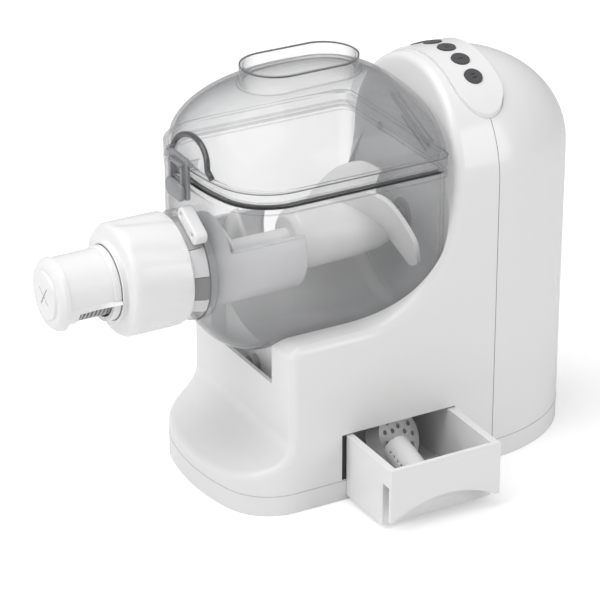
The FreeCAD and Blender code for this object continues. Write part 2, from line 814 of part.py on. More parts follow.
lock_block = box(
    "lock_block_form",
    (-16, "-flange_reach - 5", "nose_height + flange_radius - 4"),
    (16, "-flange_reach + 3", "nose_height + flange_radius + 10"),
)
lock_slots = [
    box(
        "lock_slot",
        (x, "-flange_reach - 6", "nose_height + flange_radius + 4.5"),
        (x + 4, "-flange_reach - 1", "nose_height + flange_radius + 7.5"),
    )
    for x in (-12, 8)
]
lock_foot = nose_cylinder("lock_foot", "flange_radius", "-flange_reach - 9", "-flange_reach + 9")
lock = cut("lock_form", lock_block, lock_foot, *lock_slots)
lock_centre = Vector(0, 0, NOSE)
lock_turn = Rotation(Vector(0, 1, 0), 26)
lock.Placement = Placement(lock_centre - lock_turn.multVec(lock_centre), lock_turn)
node(lock, "neck_lock_block")

gasket = cut(
    "bowl_gasket",
    padded("gasket_out", "XY", rim_plan(1.2), "rim_height", "rim_height + gasket_height"),
    padded("gasket_in", "XY", rim_plan(5.4), "rim_height - 1", "rim_height + gasket_height + 1"),
)
node(gasket, "bowl_gasket")

# Lid: a clear dome with the feed funnel on top
LID_LOW = size("rim_height") + size("gasket_height")
LID_BAND = LID_LOW + size("lid_band")
CROWN = size("lid_crown")
CROWN_Y = -size("crown_back")


def front_plan_half(y, inset):
    """Half the lid's width at a place on Y."""
    front = -size("rim_front") + inset
    reach = CROWN_Y - front
    share = max(0.0, 1 - ((CROWN_Y - y) / reach) ** 4.2)
    return (RIM_HALF - inset) * share ** (1 / 2.3)


def dome(name, inset, low):
    """The lid's dome: lofted half-ellipses, low and narrow at the front, steep at the back."""
    front = -size("rim_front") + inset
    back = size("bowl_back") - inset
    crown = CROWN - inset
    places = [front + s * (CROWN_Y - front) for s in (0.006, 0.03, 0.08, 0.16, 0.28, 0.45, 0.7, 1.0)]
    places += [CROWN_Y + s * (back - CROWN_Y) for s in (0.3, 0.55, 0.75, 0.9, 1.0)]
    wires = []
    for y in places:
        if y <= CROWN_Y:
            share = (CROWN_Y - y) / (CROWN_Y - front)
            high = (crown - low) * math.sqrt(max(0.0, 1 - share ** 2))
            wide = front_plan_half(y, inset)
        else:
            share = (y - CROWN_Y) / (back - CROWN_Y)
            high = (crown - low) * (1 - 0.42 * share ** 3.2)
            wide = (RIM_HALF - inset) * (1 - 0.1 * share ** 4)
        high = max(high, 1.5)
        high, wide = float(high), float(wide)
        if wide >= high:
            ellipse = Part.Ellipse(Vector(0, y, low), wide, high)
        else:
            ellipse = Part.Ellipse(Vector(0, y, low), high, wide)
        major = Vector(1, 0, 0) if wide >= high else Vector(0, 0, 1)
        ellipse.Axis = Vector(0, -1, 0)
        ellipse.XAxis = major
        half_edge = Part.ArcOfEllipse(ellipse, 0, math.pi) if wide >= high else Part.ArcOfEllipse(
            ellipse, -math.pi / 2, math.pi / 2
        )
        edge = half_edge.toShape()
        a, b = edge.Vertexes[0].Point, edge.Vertexes[-1].Point
        wires.append(Part.Wire([edge, Part.makeLine(b, a)]))
    return solid(name, Part.makeLoft(wires, True, False))


lid_band_out = padded("lid_band_out", "XY", rim_plan(0), LID_LOW, LID_BAND)
lid_dome_out = dome("lid_dome_out", 1.0, LID_BAND - 0.2)
lid_dome_in = dome("lid_dome_in", 1.0 + size("lid_wall"), LID_BAND - 0.3)
lid_band_in = padded("lid_band_in", "XY", rim_plan(5.6), LID_LOW - 1, LID_BAND + 0.1)
FUNNEL_MID = -(size("funnel_front") + size("funnel_back")) / 2
FUNNEL_HALF = (size("funnel_front") - size("funnel_back")) / 2


def funnel_form(name, radius, low, high):
    return padded(name, "XY", stadium(FUNNEL_HALF, value_of(radius), FUNNEL_MID, turned=True), low, high)


funnel_out = funnel_form("funnel_out", "funnel_radius", "lid_crown - 8", "funnel_top")
funnel_in = funnel_form("funnel_in", "funnel_radius - funnel_wall", "lid_crown - 60", "funnel_top + 1")
lugs = []
PIN_Y = -size("latch_pin_reach")
for side in (1, -1):
    low = ("latch_width / 2 + fit_gap", "-latch_pin_reach - 3", "latch_pin_height - 4")
    high = ("latch_width / 2 + fit_gap + 3", "-rim_front + 16", "latch_pin_height + 3")
    lugs.append(side_box("latch_lug", low, high, side))
lug_trim = dome("lug_trim", 1.0 + size("lid_wall"), LID_BAND - 0.3)
lid_outer = fuse("lid_outer", lid_band_out, lid_dome_out, funnel_out, *lugs)
pin_bore = cylinder(
    "lug_bore", "latch_pin_radius + shaft_gap", ("-latch_width", "-latch_pin_reach", "latch_pin_height"),
    "2 * latch_width", axis="X",
)
node(cut("lid", lid_outer, lid_dome_in, lid_band_in, funnel_in, lug_trim, pin_bore), "lid")

# Latch: a clear flap on a steel pin, with a window and a finger lip
pin_length = "latch_width + 2 * fit_gap + 6"
pin_start = (f"-({pin_length}) / 2", "-latch_pin_reach", "latch_pin_height")
node(cylinder("latch_pin", "latch_pin_radius", pin_start, pin_length, axis="X"), "latch_pin")
latch_low = size("latch_pin_height") - size("latch_drop")
latch_back = -(size("rim_front") + 0.5)
plate = size("latch_plate")
pin_z = size("latch_pin_height")
knuckle = 3.2
latch_side = polygon(
    [
        (latch_back, latch_low + 4), (latch_back, pin_z - 2), (PIN_Y + 1, pin_z + knuckle),
        (PIN_Y - knuckle, pin_z + knuckle), (PIN_Y - knuckle, latch_low + 16), (PIN_Y - 9, latch_low + 8),
        (PIN_Y - 7, latch_low + 4), (PIN_Y - 1, latch_low),
    ],
    [0.8, 1.0, 1.5, 2.0, 3.0, 1.5, 1.5, 1.5],
)
latch_plate = padded("latch_plate", "YZ", latch_side, "-latch_width / 2", "latch_width / 2")
latch_bore = cylinder(
    "latch_bore", "latch_pin_radius + shaft_gap", ("-latch_width", "-latch_pin_reach", "latch_pin_height"),
    "2 * latch_width", axis="X",
)
window = box("latch_window", (-4.5, "-latch_pin_reach - 12", pin_z - 14), (4.5, "-rim_front + 2", pin_z - 5.5))
node(cut("latch", latch_plate, latch_bore, window), "latch")

# Extruder barrel: a frosted tube through the neck, open on top inside the bowl
barrel_tube = nose_cylinder("barrel_tube", "barrel_radius", "-barrel_reach", "-barrel_back")
barrel_flange = nose_cylinder("barrel_flange", "neck_radius", "-barrel_reach", "-barrel_reach + 4")
barrel_bore = nose_cylinder("barrel_bore", "barrel_radius - barrel_wall", "-barrel_reach - 1", "-barrel_back + 1")
barrel_mouth = box("barrel_mouth", (-60, "-bowl_front + 16", "nose_height + 14.6"), (60, 0, 300))
node(
    cut("extruder_barrel", fuse("barrel_whole", barrel_tube, barrel_flange), barrel_bore, barrel_mouth),
    "extruder_barrel",
)

# Auger and mixing paddle: one white moulding on the nose axis
AUGER_OUT = size("barrel_radius") - size("barrel_wall") - size("auger_gap")
auger_front = -size("barrel_reach") + 3
auger_back = -size("barrel_back") - 2
flight_thick = size("flight_thickness")
pitch = size("auger_pitch")


def screw_flight():
    """The auger's flight: a square thread swept along a helix."""
    span = auger_back - auger_front - flight_thick
    root = size("auger_core") - 0.8
    helix = Part.makeHelix(pitch, span, root)
    face = Part.makePolygon([
        Vector(root, 0, -flight_thick / 2), Vector(AUGER_OUT, 0, -flight_thick / 2),
        Vector(AUGER_OUT, 0, flight_thick / 2), Vector(root, 0, flight_thick / 2),
        Vector(root, 0, -flight_thick / 2),
    ])
    thread = helix.makePipeShell([face], True, True)
    if not thread.isValid() or thread.Volume < 1:
        raise RuntimeError("the flight's sweep failed")
    return Part.Solid(Part.Shell(thread.Faces)) if thread.ShapeType != "Solid" else thread


flight = solid("auger_flight", screw_flight())
flight.Placement = Placement(
    Vector(0, auger_front + flight_thick / 2, NOSE), Rotation(Vector(1, 0, 0), -90)
)
core = nose_cylinder("auger_core_rod", "auger_core", auger_front, "-barrel_back + 6")
hub = nose_cylinder("paddle_hub", "hub_radius", "-barrel_back + 2", "bowl_back - bowl_wall - 1.2")
blades = []
for i, (front, back, turn) in enumerate(((-62.0, 14.0, 205.0), (-40.0, 16.0, 85.0), (-62.0, 2.0, 325.0))):
    reach = size("paddle_reach")
    half = size("paddle_thickness") / 2
    outline = polygon([(front, 0), (front + 8, reach - 4), (back - 4, reach), (back, 0)], [0, 12, 14, 0])
    blade = padded(f"paddle_blade_{i + 1}", "YZ", outline, -half, half)
    blade.Placement = Placement(Vector(0, 0, NOSE), Rotation(Vector(0, 1, 0), turn))
    blades.append(blade)


def hexagon(flats):
    radius = flats / math.sqrt(3)
    return polygon([
        (radius * math.cos(math.radians(60 * i)), NOSE + radius * math.sin(math.radians(60 * i)))
        for i in range(6)
    ])


HEX = size("hex_flats")
HEX_FRONT = -6.0
socket = padded("hex_socket", "XZ", hexagon(HEX + 2 * size("fit_gap")), HEX_FRONT - 2, "bowl_back")
node(cut("auger", fuse("auger_whole", core, flight, hub, *blades), socket), "auger")

# Shaping disc, locking ring, hood and cap on the nose
fitted_rings = ((10.0, 6), (20.0, 12))
disc = shaping_disc("fitted_disc_form", size("die_radius"), size("die_thickness"), fitted_rings, 2.0)
doc.recompute()
disc.Placement = Placement(Vector(0, -size("barrel_reach") - GAP, NOSE), Rotation(Vector(1, 0, 0), 90))
node(disc, "fitted_disc")

RING_FRONT = -size("ring_reach")
RING_BACK = -size("ring_back")
RING_IN = size("neck_radius") + size("fit_gap") + 0.2
FACE_BACK = -size("barrel_reach") - GAP - size("die_thickness") - 2.4
COLLAR_IN = size("hood_radius") + 1.2
ring_out = size("ring_radius")
collar = size("collar_radius")
ring_profile = polygon(
    [
        (FACE_BACK, COLLAR_IN), (-size("collar_reach"), COLLAR_IN), (-size("collar_reach"), collar),
        (RING_FRONT, collar), (RING_FRONT, ring_out), (RING_BACK, ring_out), (RING_BACK, RING_IN),
        (FACE_BACK, RING_IN),
    ],
    [0, 0.6, 1.2, 0, 6.0, 2.5, 0, 0],
)
ring_turned = revolved("ring_turned", ring_profile)
grips = []
for i in range(8):
    groove = nose_cylinder("grip_groove", 3.0, "-ring_reach + 9", "-ring_back + 3")
    angle = math.radians(45 * i + 12)
    reach = ring_out + 1.9
    groove.setExpression("Placement.Base.x", str(reach * math.cos(angle)))
    groove.setExpression("Placement.Base.z", str(NOSE + reach * math.sin(angle)))
    grips.append(groove)
node(cut("locking_ring", ring_turned, *grips), "locking_ring")

hood_front = -size("hood_reach")
hood_out = size("hood_radius")
hood_in = hood_out - size("hood_wall")
hood_profile = polygon([
    (hood_front, hood_in), (hood_front, hood_out), (RING_FRONT - 6, hood_out),
    (RING_FRONT - 5, COLLAR_IN - 0.3), (FACE_BACK + 0.3, COLLAR_IN - 0.3),
    (FACE_BACK + 0.3, COLLAR_IN + 5), (FACE_BACK + 1.9, COLLAR_IN + 5),
    (FACE_BACK + 1.9, hood_in),
])
hood_turned = revolved("hood_turned", hood_profile)
mouth_low = math.radians(-110)
mouth_high = math.radians(-32)
mouth = [
    line((0, NOSE), (60 * math.cos(mouth_low), NOSE + 60 * math.sin(mouth_low))),
    line(
        (60 * math.cos(mouth_low), NOSE + 60 * math.sin(mouth_low)),
        (60 * math.cos(mouth_high), NOSE + 60 * math.sin(mouth_high)),
    ),
    line((60 * math.cos(mouth_high), NOSE + 60 * math.sin(mouth_high)), (0, NOSE)),
]
hood_mouth = padded("hood_mouth", "XZ", mouth, "-hood_reach + 2.5", "-ring_reach - 6.5")
node(cut("cutter_hood", hood_turned, hood_mouth), "cutter_hood")

cap_out = size("cap_radius")
cap_front = -size("cap_reach")
cap_face = size("cap_face_radius")
cap_profile = polygon(
    [
        (hood_front, 0), (cap_front - 2, 0), (cap_front - 2, cap_face), (cap_front, cap_face + 0.4),
        (cap_front, cap_out - 4), (cap_front + 5, cap_out), (hood_front, cap_out),
    ],
    [0, 0, 0.8, 0, 2.0, 2.5, 1.5],
)
cap_turned = revolved("cap_turned", cap_profile)
cap_bars = []
for angle in (35, -55):
    bar = Part.makeBox(18, 1.6, 1.1, Vector(-9, cap_front - 3, NOSE - 0.55))
    bar.rotate(Vector(0, 0, NOSE), Vector(0, 1, 0), angle)
    cap_bars.append(solid("cap_bar", bar))
node(cut("hood_cap", cap_turned, *cap_bars), "hood_cap")

# Bowl release button in the notch
release = cylinder(
    "release_button", 6, (0, "-column_reach + 7", "notch_floor - 6"), 9, axis="Y"
)
node(release, "release_button")


# Gears: involute teeth with a little backlash
PRESSURE = math.radians(25)


def gear(teeth, module, length, bore, first_gap, backlash=0.12):
    """A spur gear along Z; a tooth, or a gap when first_gap is set, points to +X."""
    pitch_r = teeth * module / 2
    base_r = pitch_r * math.cos(PRESSURE)
    tip_r = pitch_r + 0.9 * module
    root_r = pitch_r - 1.2 * module
    half_tooth = math.pi / (2 * teeth) - backlash * module / (2 * pitch_r)
    flank_zero = half_tooth + math.tan(PRESSURE) - PRESSURE

    def flank(radius):
        roll = math.acos(min(1.0, base_r / radius))
        return flank_zero - (math.tan(roll) - roll)

    start_r = max(base_r, root_r + 0.15 * module)
    radii = [start_r + (tip_r - start_r) * k / 3 for k in range(4)]
    points = []
    for tooth in range(teeth):
        middle_angle = 2 * math.pi * (tooth + (0.5 if first_gap else 0)) / teeth
        low = [(root_r, -flank(start_r))] + [(r, -flank(r)) for r in radii]
        high = [(r, flank(r)) for r in reversed(radii)] + [(root_r, flank(start_r))]
        for r, turn in low + high:
            points.append(Vector(r * math.cos(middle_angle + turn), r * math.sin(middle_angle + turn), 0))
    points.append(points[0])
    wheel = Part.Face(Part.makePolygon(points)).extrude(Vector(0, 0, length))
    if bore > 0:
        wheel = wheel.cut(Part.makeCylinder(bore, length + 2, Vector(0, 0, -1)))
    return wheel


def stand_gear(shape, y, height, up):
    """Lays a gear made along Z on an axis along Y, its first tooth or gap up or down."""
    shape = shape.copy()
    shape.rotate(Vector(), Vector(0, 0, 1), 90 if up else -90)
    shape.rotate(Vector(), Vector(1, 0, 0), 90)
    shape.translate(Vector(0, y, height))
    return shape


PIN = size("pin_radius")
RUN = size("shaft_gap")
slow = size("slow_module")
fast = size("fast_module")
OUTPUT_TEETH = int(size("output_teeth"))
SMALL_TEETH = int(size("small_teeth"))
BIG_TEETH = int(size("big_teeth"))
PINION_TEETH = int(size("pinion_teeth"))
COMPOUND_Z = NOSE - slow * (OUTPUT_TEETH + SMALL_TEETH) / 2
MOTOR_Z = COMPOUND_Z - fast * (BIG_TEETH + PINION_TEETH) / 2
BOX_FRONT = size("tower_front") + size("tower_skin")
GEAR_Y = BOX_FRONT + 13
BIG_Y = GEAR_Y + 7
BOX_BACK = BOX_FRONT + 22
SHAFT_R = size("shaft_radius")

output = stand_gear(gear(OUTPUT_TEETH, slow, 8, SHAFT_R, True), GEAR_Y, NOSE, False)
node(solid("output_gear", output), "output_gear")
small = stand_gear(gear(SMALL_TEETH, slow, 9, PIN + RUN, False), BIG_Y - 6, COMPOUND_Z, True)
big = stand_gear(gear(BIG_TEETH, fast, 6, PIN + RUN, True), BIG_Y, COMPOUND_Z, False)
node(solid("compound_gear", small.fuse(big)), "compound_gear")
ROTOR_R = size("rotor_shaft")
pinion = stand_gear(gear(PINION_TEETH, fast, 7, ROTOR_R, False), BIG_Y + 0.5, MOTOR_Z, True)
node(solid("motor_pinion", pinion), "motor_pinion")

# Gearbox: a tray and its cover, bolted behind the tower's front
box_outline = [
    line((-52, MOTOR_Z - 12), (52, MOTOR_Z - 12)),
    line((52, MOTOR_Z - 12), (52, NOSE)),
    arc((0, NOSE), 52, 0, 180),
    line((-52, NOSE), (-52, MOTOR_Z - 12)),
]
room_outline = [
    line((-49.5, MOTOR_Z - 9.5), (49.5, MOTOR_Z - 9.5)),
    line((49.5, MOTOR_Z - 9.5), (49.5, NOSE)),
    arc((0, NOSE), 49.5, 0, 180),
    line((-49.5, NOSE), (-49.5, MOTOR_Z - 9.5)),
]
tray_block = padded("gearbox_block", "XZ", box_outline, BOX_FRONT, BOX_BACK)
tray_room = padded("gearbox_room", "XZ", room_outline, BOX_FRONT + 3, BOX_BACK + 1)
boss = nose_cylinder("output_boss", SHAFT_R + 6, BOX_FRONT, BOX_FRONT + 4.5)
bush_bore = nose_cylinder("bush_bore", "shaft_radius + 3", BOX_FRONT - 1, BOX_FRONT + 5)
pin_hole = cylinder("pin_hole", PIN, (0, BOX_FRONT + 1, COMPOUND_Z), 5, axis="Y")
gearbox_tray = fuse("gearbox_tray", cut("tray_open", tray_block, tray_room), boss)
node(cut("gearbox_housing", gearbox_tray, bush_bore, pin_hole), "gearbox_housing")
cover_plate = padded("gearbox_cover_plate", "XZ", box_outline, BOX_BACK, BOX_BACK + 2.5)
cover_holes = [
    nose_cylinder("rear_bush_bore", "shaft_radius + 3", BOX_BACK - 1, BOX_BACK + 4),
    cylinder("rear_pin_hole", PIN, (0, BOX_BACK - 1, COMPOUND_Z), 5, axis="Y"),
    cylinder("rotor_hole", ROTOR_R + 2, (0, BOX_BACK - 1, MOTOR_Z), 5, axis="Y"),
]
node(cut("gearbox_cover", cover_plate, *cover_holes), "gearbox_cover")
gear_pin = cylinder("compound_pin", PIN, (0, BOX_FRONT + 1, COMPOUND_Z), BOX_BACK + 1 - BOX_FRONT, axis="Y")
node(gear_pin, "compound_pin")


def bush(name, front, back):
    outer = nose_cylinder(name + "_out", "shaft_radius + 3", front, back)
    inner = nose_cylinder(name + "_bore", "shaft_radius + shaft_gap", f"({front}) - 1", f"({back}) + 1")
    return node(cut(name, outer, inner), name)


bush("front_bush", "tower_front + 4", BOX_FRONT + 4.5)
bush("rear_bush", BOX_BACK - 0.5, BOX_BACK + 4)
seal_out = nose_cylinder("seal_out", "shaft_radius + 5", "tower_front - 0.4", "tower_front + 4")
seal_bore = nose_cylinder("seal_bore", "shaft_radius + shaft_gap", "tower_front - 2", "tower_front + 5")
node(cut("shaft_seal", seal_out, seal_bore), "shaft_seal")
shaft_round = nose_cylinder("shaft_round", "shaft_radius", "bowl_back + 0.6", BOX_BACK + 5)
shaft_hex = padded("shaft_hex", "XZ", hexagon(HEX), HEX_FRONT, "bowl_back + 2")
node(fuse("drive_shaft", shaft_round, shaft_hex), "drive_shaft")

# Motor: can, rotor with its shaft, and the fan
MOTOR_Y = BOX_BACK + 2.5
MOTOR_BACK = MOTOR_Y + size("motor_length")


def motor_cylinder(name, radius, front, back):
    return cylinder(name, radius, (0, front, MOTOR_Z), f"({back})-({front})", axis="Y")


can = motor_cylinder("can_out", "motor_radius", MOTOR_Y, MOTOR_BACK)
can_room = motor_cylinder("can_room", "motor_radius - 2.5", MOTOR_Y + 2.5, MOTOR_BACK - 2.5)
can_bore = motor_cylinder("can_bore", ROTOR_R + RUN, MOTOR_Y - 1, MOTOR_BACK + 1)
node(cut("motor_can", can, can_room, can_bore), "motor_can")
rotor_rod = motor_cylinder("rotor_rod", "rotor_shaft", BIG_Y - 7, MOTOR_BACK + 12)
rotor_core = motor_cylinder("rotor_core", "motor_radius - 8", MOTOR_Y + 10, MOTOR_BACK - 10)
node(fuse("motor_rotor", rotor_rod, rotor_core), "motor_rotor")
fan_hub = motor_cylinder("fan_hub", 8, MOTOR_BACK + 3, MOTOR_BACK + 11)
vanes = []
for i in range(7):
    vane = Part.makeBox(19, 7, 1.6, Vector(7, MOTOR_BACK + 3.5, -0.8))
    vane.rotate(Vector(0, MOTOR_BACK + 7, 0), Vector(1, 0, 0), 30)
    vane.rotate(Vector(), Vector(0, 1, 0), 360 * i / 7)
    vane.translate(Vector(0, 0, MOTOR_Z))
    vanes.append(solid("fan_vane", vane))
fan_bore = motor_cylinder("fan_bore", "rotor_shaft", MOTOR_BACK, MOTOR_BACK + 14)
node(cut("cooling_fan", fuse("fan_whole", fan_hub, *vanes), fan_bore), "cooling_fan")

power_low = f"rubber_foot + floor_thickness + 5.5"
node(box("power_board", (-50, 68, power_low), (30, 116, f"{power_low} + 1.6")), "power_board")
inlet = cylinder("inlet_tube", 8 - 0.2, (0, "rear_reach - 12", "band_height + 22"), 14.5, axis="Y")
inlet_flange = cylinder("inlet_flange", 11, (0, "rear_reach - 12", "band_height + 22"), 6, axis="Y")
inlet_bore = cylinder("inlet_bore", 4, (0, "rear_reach - 20", "band_height + 22"), 40, axis="Y")
inlet_room = rear_dome("inlet_room", size("wall") + 0.2)
inlet_ring = common("inlet_inside", inlet_flange, inlet_room)
node(cut("cord_inlet", fuse("inlet_whole", inlet, inlet_ring), inlet_bore), "cord_inlet")

doc.recompute()

for thing in doc.Objects:
    if "Invalid" in thing.State or "Error" in thing.State:
        raise RuntimeError(f"{thing.Name} ({thing.Label}) failed: {thing.State}")
for thing in pieces:
    if thing.Shape.isNull() or not thing.Shape.isValid() or thing.Shape.Volume <= 0:
        raise RuntimeError(f"{thing.Label} has no valid shape")
for thing in pieces:
    shape = thing.Shape
    print(f"{thing.Label:18} solids {len(shape.Solids):2d} volume {shape.Volume / 1000:8.2f} cm3")
    shape.exportStep(f"parts/{thing.Label}.step")
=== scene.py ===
# Electric pasta maker: a white body with a tall drive tower at the back, a clear mixing bowl and lid lying in
# its cradle, an extruding nose with a cutter hood, and a drawer of shaping discs pulled out at the side.
# Metres. X points to the drawer, -Y to the nose and Z up.
import math

import bpy
import bmesh
from mathutils import Matrix, Vector


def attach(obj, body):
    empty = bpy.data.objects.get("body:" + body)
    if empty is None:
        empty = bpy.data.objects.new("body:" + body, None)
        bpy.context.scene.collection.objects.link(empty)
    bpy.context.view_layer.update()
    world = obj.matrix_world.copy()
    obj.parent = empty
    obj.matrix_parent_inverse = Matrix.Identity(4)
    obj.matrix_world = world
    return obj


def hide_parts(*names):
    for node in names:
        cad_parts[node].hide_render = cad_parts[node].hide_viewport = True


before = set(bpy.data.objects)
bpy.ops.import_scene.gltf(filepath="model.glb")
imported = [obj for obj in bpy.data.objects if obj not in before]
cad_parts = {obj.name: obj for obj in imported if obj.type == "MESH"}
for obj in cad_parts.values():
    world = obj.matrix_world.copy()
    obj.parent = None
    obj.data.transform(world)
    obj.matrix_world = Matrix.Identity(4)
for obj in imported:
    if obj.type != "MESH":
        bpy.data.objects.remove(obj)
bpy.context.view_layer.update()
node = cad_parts


# Table and studio: a white sweep, with a broad softbox overhead, a window-like panel at the camera's left
# and a dimmer one behind. The camera stands to the right of the nose, well above the table.
class Channel:
    """A number that varies over a surface; sums on it add Math nodes."""

    def __init__(self, finish, socket):
        self.finish = finish
        self.socket = socket

    def math(self, operation, first, second=None):
        inputs = {0: first} if second is None else {0: first, 1: second}
        return self.finish.add("ShaderNodeMath", {"operation": operation}, inputs)

    def __add__(self, other):
        return self.math("ADD", self, other)

    def __mul__(self, other):
        return self.math("MULTIPLY", self, other)


class Finish:
    """A material on the Principled shader, built node by node."""

    def __init__(self, name, **constants):
        self.material = bpy.data.materials.new(name)
        self.material.use_nodes = True
        self.tree = self.material.node_tree
        self.shader = self.tree.nodes["Principled BSDF"]
        for socket, value in constants.items():
            self.shader.inputs[socket.replace("_", " ")].default_value = value

    def put(self, socket, value):
        if isinstance(value, Channel):
            self.tree.links.new(value.socket, socket)
        else:
            socket.default_value = value

    def add(self, kind, settings=None, inputs=None, out=0):
        made = self.tree.nodes.new(kind)
        for name, value in (settings or {}).items():
            setattr(made, name, value)
        for name, value in (inputs or {}).items():
            self.put(made.inputs[name], value)
        return Channel(self, made.outputs[out])

    def drive(self, socket, value):
        self.put(self.shader.inputs[socket], value)

    def noise(self, scale, detail=2.0, roughness=0.5):
        place = self.add("ShaderNodeTexCoord", out="Object")
        inputs = {"Vector": place, "Scale": scale, "Detail": detail, "Roughness": roughness}
        return self.add("ShaderNodeTexNoise", inputs=inputs)

    def two_tone(self, mask, low, high):
        ends = [end if isinstance(end, Channel) else (*end, 1) for end in (low, high)]
        return self.add(
            "ShaderNodeMix", {"data_type": "RGBA"}, {"Factor": mask, 6: ends[0], 7: ends[1]}, out=2
        )

    def relief(self, height, depth, strength=1.0):
        bump = self.add("ShaderNodeBump", inputs={"Height": height, "Distance": depth, "Strength": strength})
        self.drive("Normal", bump)
        return bump


def area_light(name, at, towards, width, height, watts):
    lamp = bpy.data.lights.new(name, "AREA")
    lamp.shape = "RECTANGLE"
    lamp.size = width
    lamp.size_y = height
    lamp.energy = watts
    thing = bpy.data.objects.new(name, lamp)
    bpy.context.scene.collection.objects.link(thing)
    thing.location = at
    thing.rotation_euler = (Vector(towards) - Vector(at)).to_track_quat("-Z", "Y").to_euler()
    return thing


camera_data = bpy.data.cameras.new("camera")
camera_data.lens = 36 * 3128 / 600
camera_data.sensor_width = 36
camera_data.clip_start = 0.05
camera = bpy.data.objects.new("camera", camera_data)
bpy.context.scene.collection.objects.link(camera)
azimuth, elevation = math.radians(60.85), math.radians(25.77)
right = Vector((math.cos(azimuth), math.sin(azimuth), 0))
back = Vector((
    math.sin(azimuth) * math.cos(elevation), -math.cos(azimuth) * math.cos(elevation), math.sin(elevation)
))
turn = Matrix((right, back.cross(right), back)).transposed().to_4x4()
camera.matrix_world = Matrix.Translation((1.7413, -1.0286, 1.0869)) @ turn
bpy.context.scene.camera = camera

area_light("overhead_softbox", (-0.1, -0.6, 1.5), (0, 0, 0.12), 1.5, 1.5, 17.3)
area_light("left_panel", (0.2, -1.6, 0.8), (0, 0, 0.15), 0.9, 1.3, 4.5)
area_light("right_panel", (1.5, 0.9, 0.7), (0, 0, 0.15), 0.7, 1.2, 7)

scene = bpy.context.scene
scene.cycles.transparent_max_bounces = 32
scene.view_settings.view_transform = "Standard"
world = bpy.data.worlds.new("studio")
scene.world = world
world.use_nodes = True
sky = world.node_tree
paths = sky.nodes.new("ShaderNodeLightPath")
seen = sky.nodes.new("ShaderNodeMath")
seen.operation = "MAXIMUM"
sky.links.new(paths.outputs["Is Camera Ray"], seen.inputs[0])
sky.links.new(paths.outputs["Is Transmission Ray"], seen.inputs[1])
glow = sky.nodes.new("ShaderNodeMath")
glow.operation = "MULTIPLY_ADD"
sky.links.new(seen.outputs[0], glow.inputs[0])
glow.inputs[1].default_value = 0.56
glow.inputs[2].default_value = 0.44
sky.links.new(glow.outputs[0], sky.nodes["Background"].inputs["Strength"])
sky.nodes["Background"].inputs["Color"].default_value = (1, 1, 1, 1)

floor_mesh = bpy.data.meshes.new("table_top")
floor_mesh.from_pydata([(-4, -4, 0), (4, -4, 0), (4, 4, 0), (-4, 4, 0)], [], [(0, 1, 2, 3)])
table_top = bpy.data.objects.new("table_top", floor_mesh)
scene.collection.objects.link(table_top)
sweep = Finish("white_sweep", Base_Color=(0.9, 0.9, 0.9, 1), Roughness=0.9)
# The sweep glows for camera and transmission rays only: painted light, dim within half a metre of the middle
# and rising to nearly white by 1.6 m, so the lit floor reads white round the machine's shadow.
path = sweep.add("ShaderNodeLightPath", out="Is Camera Ray")
path_through = sweep.add("ShaderNodeLightPath", out="Is Transmission Ray")
shown = sweep.add("ShaderNodeMath", {"operation": "MAXIMUM"}, {0: path, 1: path_through})
sweep.shader.inputs["Emission Strength"].default_value = 1.0
place = sweep.add("ShaderNodeTexCoord", out="Object")
distance = sweep.add("ShaderNodeVectorMath", {"operation": "LENGTH"}, {0: place}, out="Value")
far = sweep.add("ShaderNodeMapRange", inputs={0: distance, 1: 0.5, 2: 1.6, 3: 0.0, 4: 1.0})
sweep.drive("Emission Color", sweep.two_tone(shown, (0, 0, 0), sweep.two_tone(far, (0.32,) * 3, (0.95,) * 3)))
floor_mesh.materials.append(sweep.material)


# Front housing: one gloss white moulding with the foot, the column, the cradle and the tower's front.
# It is injection moulded; the skin has the faint ripple that such a surface has.
def dress(material, *names):
    """Gives CAD nodes a material."""
    for name in names:
        mesh = node[name].data
        mesh.materials.clear()
        mesh.materials.append(material)


def white_moulding(name, shade, roughness):
    finish = Finish(name, Coat_Weight=0.25, Coat_Roughness=0.08, IOR=1.5)
    mottle = finish.noise(9, 3)
    grain = finish.noise(700, 2)
    finish.drive("Base Color", finish.two_tone(mottle, (shade * 0.985,) * 3, (shade, shade, shade * 0.995)))
    finish.drive("Roughness", mottle * 0.08 + roughness)
    finish.relief(grain, 0.00003, 0.25)
    return finish.material


gloss_white = white_moulding("gloss_white_moulding", 0.84, 0.2)
dress(gloss_white, "front_housing", "rear_cover", "base_plate", "control_panel", "drawer", "locking_ring")
satin_white = white_moulding("satin_white_moulding", 0.86, 0.35)
dress(satin_white, "auger", "fitted_disc", "stored_disc_1", "stored_disc_2", "stored_disc_3")


# Seams: the dark shadow gaps where the rear cover meets the housing and where both meet the base tray.
MM = 0.001


def mesh_piece(name, points, faces, material, smooth=True):
    """A mesh object from points in millimetres."""
    mesh = bpy.data.meshes.new(name)
    mesh.from_pydata([Vector(p) * MM for p in points], [], faces)
    mesh.materials.append(material)
    made = bmesh.new()
    made.from_mesh(mesh)
    bmesh.ops.remove_doubles(made, verts=made.verts, dist=1e-7)
    bmesh.ops.recalc_face_normals(made, faces=made.faces)
    made.to_mesh(mesh)
    made.free()
    for face in mesh.polygons:
        face.use_smooth = smooth
    thing = bpy.data.objects.new(name, mesh)
    bpy.context.scene.collection.objects.link(thing)
    return thing


def soften(thing, width, segments=3, angle=35):
    """Rounds the sharp edges of a piece, as a mould does."""
    bevel = thing.modifiers.new("edges", "BEVEL")
    bevel.width = width * MM
    bevel.segments = segments
    bevel.limit_method = "ANGLE"
    bevel.angle_limit = math.radians(angle)
    bevel.harden_normals = True
    return thing


